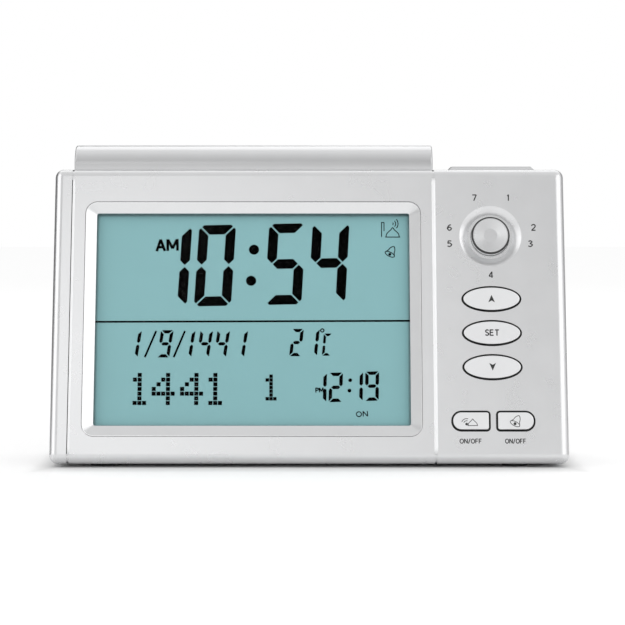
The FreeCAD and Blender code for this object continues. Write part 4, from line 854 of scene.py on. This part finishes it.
ARROW = (0, 1.45), (1.25, -1.45), (0, -0.75), (-1.25, -1.45)
on_key("up_key", lambda x, v: [turned(ARROW, 0, x, v)])
on_key("down_key", lambda x, v: [turned(ARROW, 180, x, v)])
on_key("call_key", lambda x, v: call_marks(x, v, 2.3, KEY_STROKE, tower=False))
on_key("alarm_key", lambda x, v: bell_marks(x + 0.2, v, 2.3, BELL_LEAN, KEY_STROKE))
on_key("set_key", lambda x, v: written("SET", x, v, 2.8, 5.6, 0.46))

for key, width in (("call_key", 8.4), ("alarm_key", 8.0)):
    label_x, label_v = middle(key)
    label = written("ON/OFF", label_x - 0.2, span(key)[0][1] - LABEL_DROP, 2.1, width, 0.34)
    slab(key + "_label", label, FACE_TOP, FACE_TOP + PRINT, ink_black, "root")

knob_x, knob_v = middle("selector_knob")
DIAL_PLACES = ((-5.9, 15.2), (7.0, 15.2), (16.6, 3.4), (15.3, -3.0), (-15.7, 3.4), (-15.7, -3.0),
               (0.0, -15.2))
DIAL_ORDER = (7, 1, 2, 3, 6, 5, 4)
DIAL_HEIGHT = 2.9
DIAL_STROKE = 0.44
for number, (away_x, away_v) in zip(DIAL_ORDER, DIAL_PLACES):
    text = str(number)
    width = 0.9 if text == "1" else 2.0
    slab(f"dial_number_{text}",
         written(text, knob_x + away_x, knob_v + away_v, DIAL_HEIGHT, width, DIAL_STROKE),
         FACE_TOP, FACE_TOP + PRINT, ink_black, "root")

EDGE_ROUND = 3.4
BEAD_STEPS = 8
BEAD_TAPER = 2.2
BEAD_TIP = 0.03
BEAD_SINK = 0.01


def bead(name, x, half_width, rise):
    """A slim rounded moulding that runs up the face along a groove, tapered at its ends, in a
    lighter paint that makes a painted highlight.
    """
    low_v, high_v = EDGE_ROUND + 0.6, (ROOF.z - FOOT.z) / UP.z / MM - EDGE_ROUND
    shape = bmesh.new()
    rings = []
    for v, lift in ((low_v, BEAD_TIP), (low_v + BEAD_TAPER, rise), (high_v - BEAD_TAPER, rise),
                    (high_v, BEAD_TIP)):
        turns = [math.pi * step / BEAD_STEPS for step in range(BEAD_STEPS + 1)]
        rings.append([shape.verts.new(face(x - half_width * math.cos(turn), v,
                                           lift * math.sin(turn) - BEAD_SINK))
                      for turn in turns])
    count = BEAD_STEPS + 1
    for ring, following in zip(rings, rings[1:]):
        for index in range(count):
            after = (index + 1) % count
            side = shape.faces.new((ring[index], ring[after], following[after], following[index]))
            side.smooth = index < count - 1
    for end in (rings[0], rings[-1]):
        shape.faces.new(end)
    bmesh.ops.recalc_face_normals(shape, faces=shape.faces)
    return settle(name, shape, bead_highlight, "root")


SEAT_REACH = 7.5, 8.7
SEAT_LEVEL = -1.95, -1.72


def seat_ring():
    """A thin silver ring on the floor of the dish, close round the knob."""
    (inner, outer), (low, high) = SEAT_REACH, SEAT_LEVEL
    shape = bmesh.new()
    rings = []
    for radius, level in ((inner, low), (inner, high), (outer, high), (outer, low)):
        rings.append([shape.verts.new(face(x, v, level))
                      for x, v in disc(knob_x, knob_v, radius)])
    for ring, following in zip(rings, rings[1:] + rings[:1]):
        for index in range(CIRCLE_STEPS):
            after = (index + 1) % CIRCLE_STEPS
            side = shape.faces.new((ring[index], ring[after], following[after], following[index]))
            side.smooth = False
    bmesh.ops.recalc_face_normals(shape, faces=shape.faces)
    settle("knob_seat_ring", shape, bezel_silver, "root")


seat_ring()
bar_low, bar_high = span("snooze_bar")
bead("panel_bead_left", bar_low[0] + 0.38, 0.47, 0.26)
bead("panel_bead_right", bar_high[0], 0.72, 0.28)

# ------------------------------------------------------------------- studio

FLOOR_HALF = 6.0
SHADOW_FRONT = 20.0
SHADOW_SIDE = 9.0
SHADOW_START = -0.35
FLOOR_LIFT = 0.34
FLOOR_TONE = tone(0.82)
FLOOR_GLOSS = 0.1
FLOOR_ROUGHNESS = 0.06
WHITE = (1, 1, 1, 1)


def seen_ray(tree):
    """1 for rays from the camera and for mirrored or refracted ones, 0 for soft light."""
    rays = tree.nodes.new("ShaderNodeLightPath")
    total = rays.outputs["Is Camera Ray"]
    for kind in ("Is Glossy Ray", "Is Transmission Ray"):
        either = tree.nodes.new("ShaderNodeMath")
        either.operation = "MAXIMUM"
        tree.links.new(total, either.inputs[0])
        tree.links.new(rays.outputs[kind], either.inputs[1])
        total = either.outputs["Value"]
    return total


def make_world(soft_level):
    """White where it is seen, and a plain soft level as light."""
    world = bpy.data.worlds.new("studio_world")
    bpy.context.scene.world = world
    world.use_nodes = True
    tree = world.node_tree
    background = tree.nodes["Background"]
    background.inputs["Color"].default_value = WHITE
    strength = tree.nodes.new("ShaderNodeMapRange")
    strength.inputs["To Min"].default_value = soft_level
    strength.inputs["To Max"].default_value = 1.0
    tree.links.new(seen_ray(tree), strength.inputs["Value"])
    tree.links.new(strength.outputs["Result"], background.inputs["Strength"])


def make_floor():
    """A pale glossy table top that shows white, with the clock's mirror image and its shadow, which
    is partly painted: the glow that makes the top white fades out near the clock's footprint.
    """
    shape = bmesh.new()
    corners = ((-1, -1), (1, -1), (1, 1), (-1, 1))
    shape.faces.new([shape.verts.new((x * FLOOR_HALF, y * FLOOR_HALF, 0)) for x, y in corners])
    mesh = bpy.data.meshes.new("studio_floor")
    shape.to_mesh(mesh)
    shape.free()
    floor = bpy.data.objects.new("studio_floor", mesh)
    bpy.context.scene.collection.objects.link(floor)
    material = bpy.data.materials.new("studio_floor")
    material.use_nodes = True
    mesh.materials.append(material)
    tree = material.node_tree
    tree.nodes.remove(tree.nodes["Principled BSDF"])
    soft = tree.nodes.new("ShaderNodeBsdfDiffuse")
    soft.inputs["Color"].default_value = FLOOR_TONE
    outside = []
    for axis, index, reach in ((SIDEWAYS, 0, SHADOW_SIDE), (Vector((0, 1, 0)), 1, SHADOW_FRONT)):
        past = calc(tree, "SUBTRACT", calc(tree, "ABSOLUTE", along(tree, axis, Vector())),
                    cad_box[1][index] / MM)
        outside.append(calc(tree, "DIVIDE", past, reach))
    # Painted shadow: the glow fades out towards the clock's footprint.
    clear = ramped(tree, calc(tree, "MAXIMUM", *outside), SHADOW_START, 1)
    glow = tree.nodes.new("ShaderNodeEmission")
    lift = calc(tree, "MULTIPLY", calc(tree, "MULTIPLY", seen_ray(tree), FLOOR_LIFT), clear)
    tree.links.new(lift, glow.inputs["Strength"])
    both = tree.nodes.new("ShaderNodeAddShader")
    tree.links.new(soft.outputs["BSDF"], both.inputs[0])
    tree.links.new(glow.outputs["Emission"], both.inputs[1])
    gloss = tree.nodes.new("ShaderNodeBsdfGlossy")
    gloss.inputs["Roughness"].default_value = FLOOR_ROUGHNESS
    mixed = tree.nodes.new("ShaderNodeMixShader")
    mixed.inputs["Fac"].default_value = FLOOR_GLOSS
    tree.links.new(both.outputs["Shader"], mixed.inputs[1])
    tree.links.new(gloss.outputs["BSDF"], mixed.inputs[2])
    tree.links.new(mixed.outputs["Shader"], tree.nodes["Material Output"].inputs["Surface"])


def lamp(name, place, width, height, power):
    """A soft box, aimed at the clock."""
    light = bpy.data.lights.new(name, "AREA")
    light.shape = "RECTANGLE"
    light.size = width
    light.size_y = height
    light.energy = power
    carrier = bpy.data.objects.new(name, light)
    bpy.context.scene.collection.objects.link(carrier)
    carrier.location = place
    carrier.rotation_euler = (CLOCK_MIDDLE - place).to_track_quat("-Z", "Y").to_euler()


def card(name, place, width, height, level):
    """A grey card round the set, seen only in reflections."""
    shape = bmesh.new()
    facing = (CLOCK_MIDDLE - place).normalized()
    across = facing.cross(Vector((0, 0, 1))).normalized()
    upward = across.cross(facing)
    corners = ((-1, -1), (1, -1), (1, 1), (-1, 1))
    shape.faces.new([shape.verts.new(place + across * (a * width / 2)
                                     + upward * (b * height / 2)) for a, b in corners])
    mesh = bpy.data.meshes.new(name)
    shape.to_mesh(mesh)
    shape.free()
    piece = bpy.data.objects.new(name, mesh)
    bpy.context.scene.collection.objects.link(piece)
    material = bpy.data.materials.new(name)
    material.use_nodes = True
    tree = material.node_tree
    tree.nodes.remove(tree.nodes["Principled BSDF"])
    glow = tree.nodes.new("ShaderNodeEmission")
    glow.inputs["Color"].default_value = tone(level)
    tree.links.new(glow.outputs["Emission"], tree.nodes["Material Output"].inputs["Surface"])
    mesh.materials.append(material)
    piece.visible_camera = False
    piece.visible_diffuse = False
    piece.visible_shadow = False
    piece.visible_transmission = False


def around(azimuth, elevation, distance):
    """A place round the clock: degrees right of the camera and above the table, metres away."""
    turn, lift = math.radians(azimuth), math.radians(elevation)
    return Vector((math.sin(turn) * math.cos(lift), -math.cos(turn) * math.cos(lift),
                   math.sin(lift))) * distance + CLOCK_MIDDLE


CLOCK_MIDDLE = Vector((0, 0, 0.06))
SOFT_LEVEL = 0.8

# Name, place, width and height in metres, and power in watts
LAMPS = (
    ("soft_box_left", around(-66, 26, 1.4), 0.9, 1.0, 2.4),
    ("soft_box_front", around(-11, 27, 1.6), 0.34, 0.55, 0.45),
    ("soft_box_between", around(-25, 26, 1.5), 0.22, 0.6, 0.14),
    ("soft_box_right", around(49, 26, 1.4), 1.25, 0.9, 2.8),
    ("soft_box_back", around(180, 52, 1.4), 1.9, 1.1, 3.6),
)

# Name, place, width and height in metres, and level
CARDS = (
    ("ceiling_card", around(0, 53, 1.4), 2.6, 1.2, 0.84),
    ("grey_card_front_right", around(15, 29.5, 1.35), 0.26, 0.56, 0.44),
    ("grey_card_near_left", Vector((-0.362, -0.63, 0.42)), 0.16, 0.38, 0.47),
    ("dark_card_left", around(-140, 14, 0.9), 1.7, 0.8, 0.05),
    ("grey_card_right", around(140, 14, 0.9), 1.5, 0.8, 0.4),
)

make_world(SOFT_LEVEL)
make_floor()
for row in LAMPS:
    lamp(*row)
for row in CARDS:
    card(*row)

# ------------------------------------------------------------------- camera

CAMERA_PLACE = (0.00125, -0.85421, 0.0946)
CAMERA_TILT = 87.5
CAMERA_LENS = 126.7

view = bpy.data.cameras.new("photo_camera")
view.sensor_fit = "HORIZONTAL"
view.sensor_width = 36
view.lens = CAMERA_LENS
view.clip_start = 0.05
view.clip_end = 50
camera = bpy.data.objects.new("photo_camera", view)
bpy.context.scene.collection.objects.link(camera)
camera.location = CAMERA_PLACE
camera.rotation_euler = (math.radians(CAMERA_TILT), 0, 0)
bpy.context.scene.camera = camera
bpy.context.scene.view_settings.view_transform = "Standard"
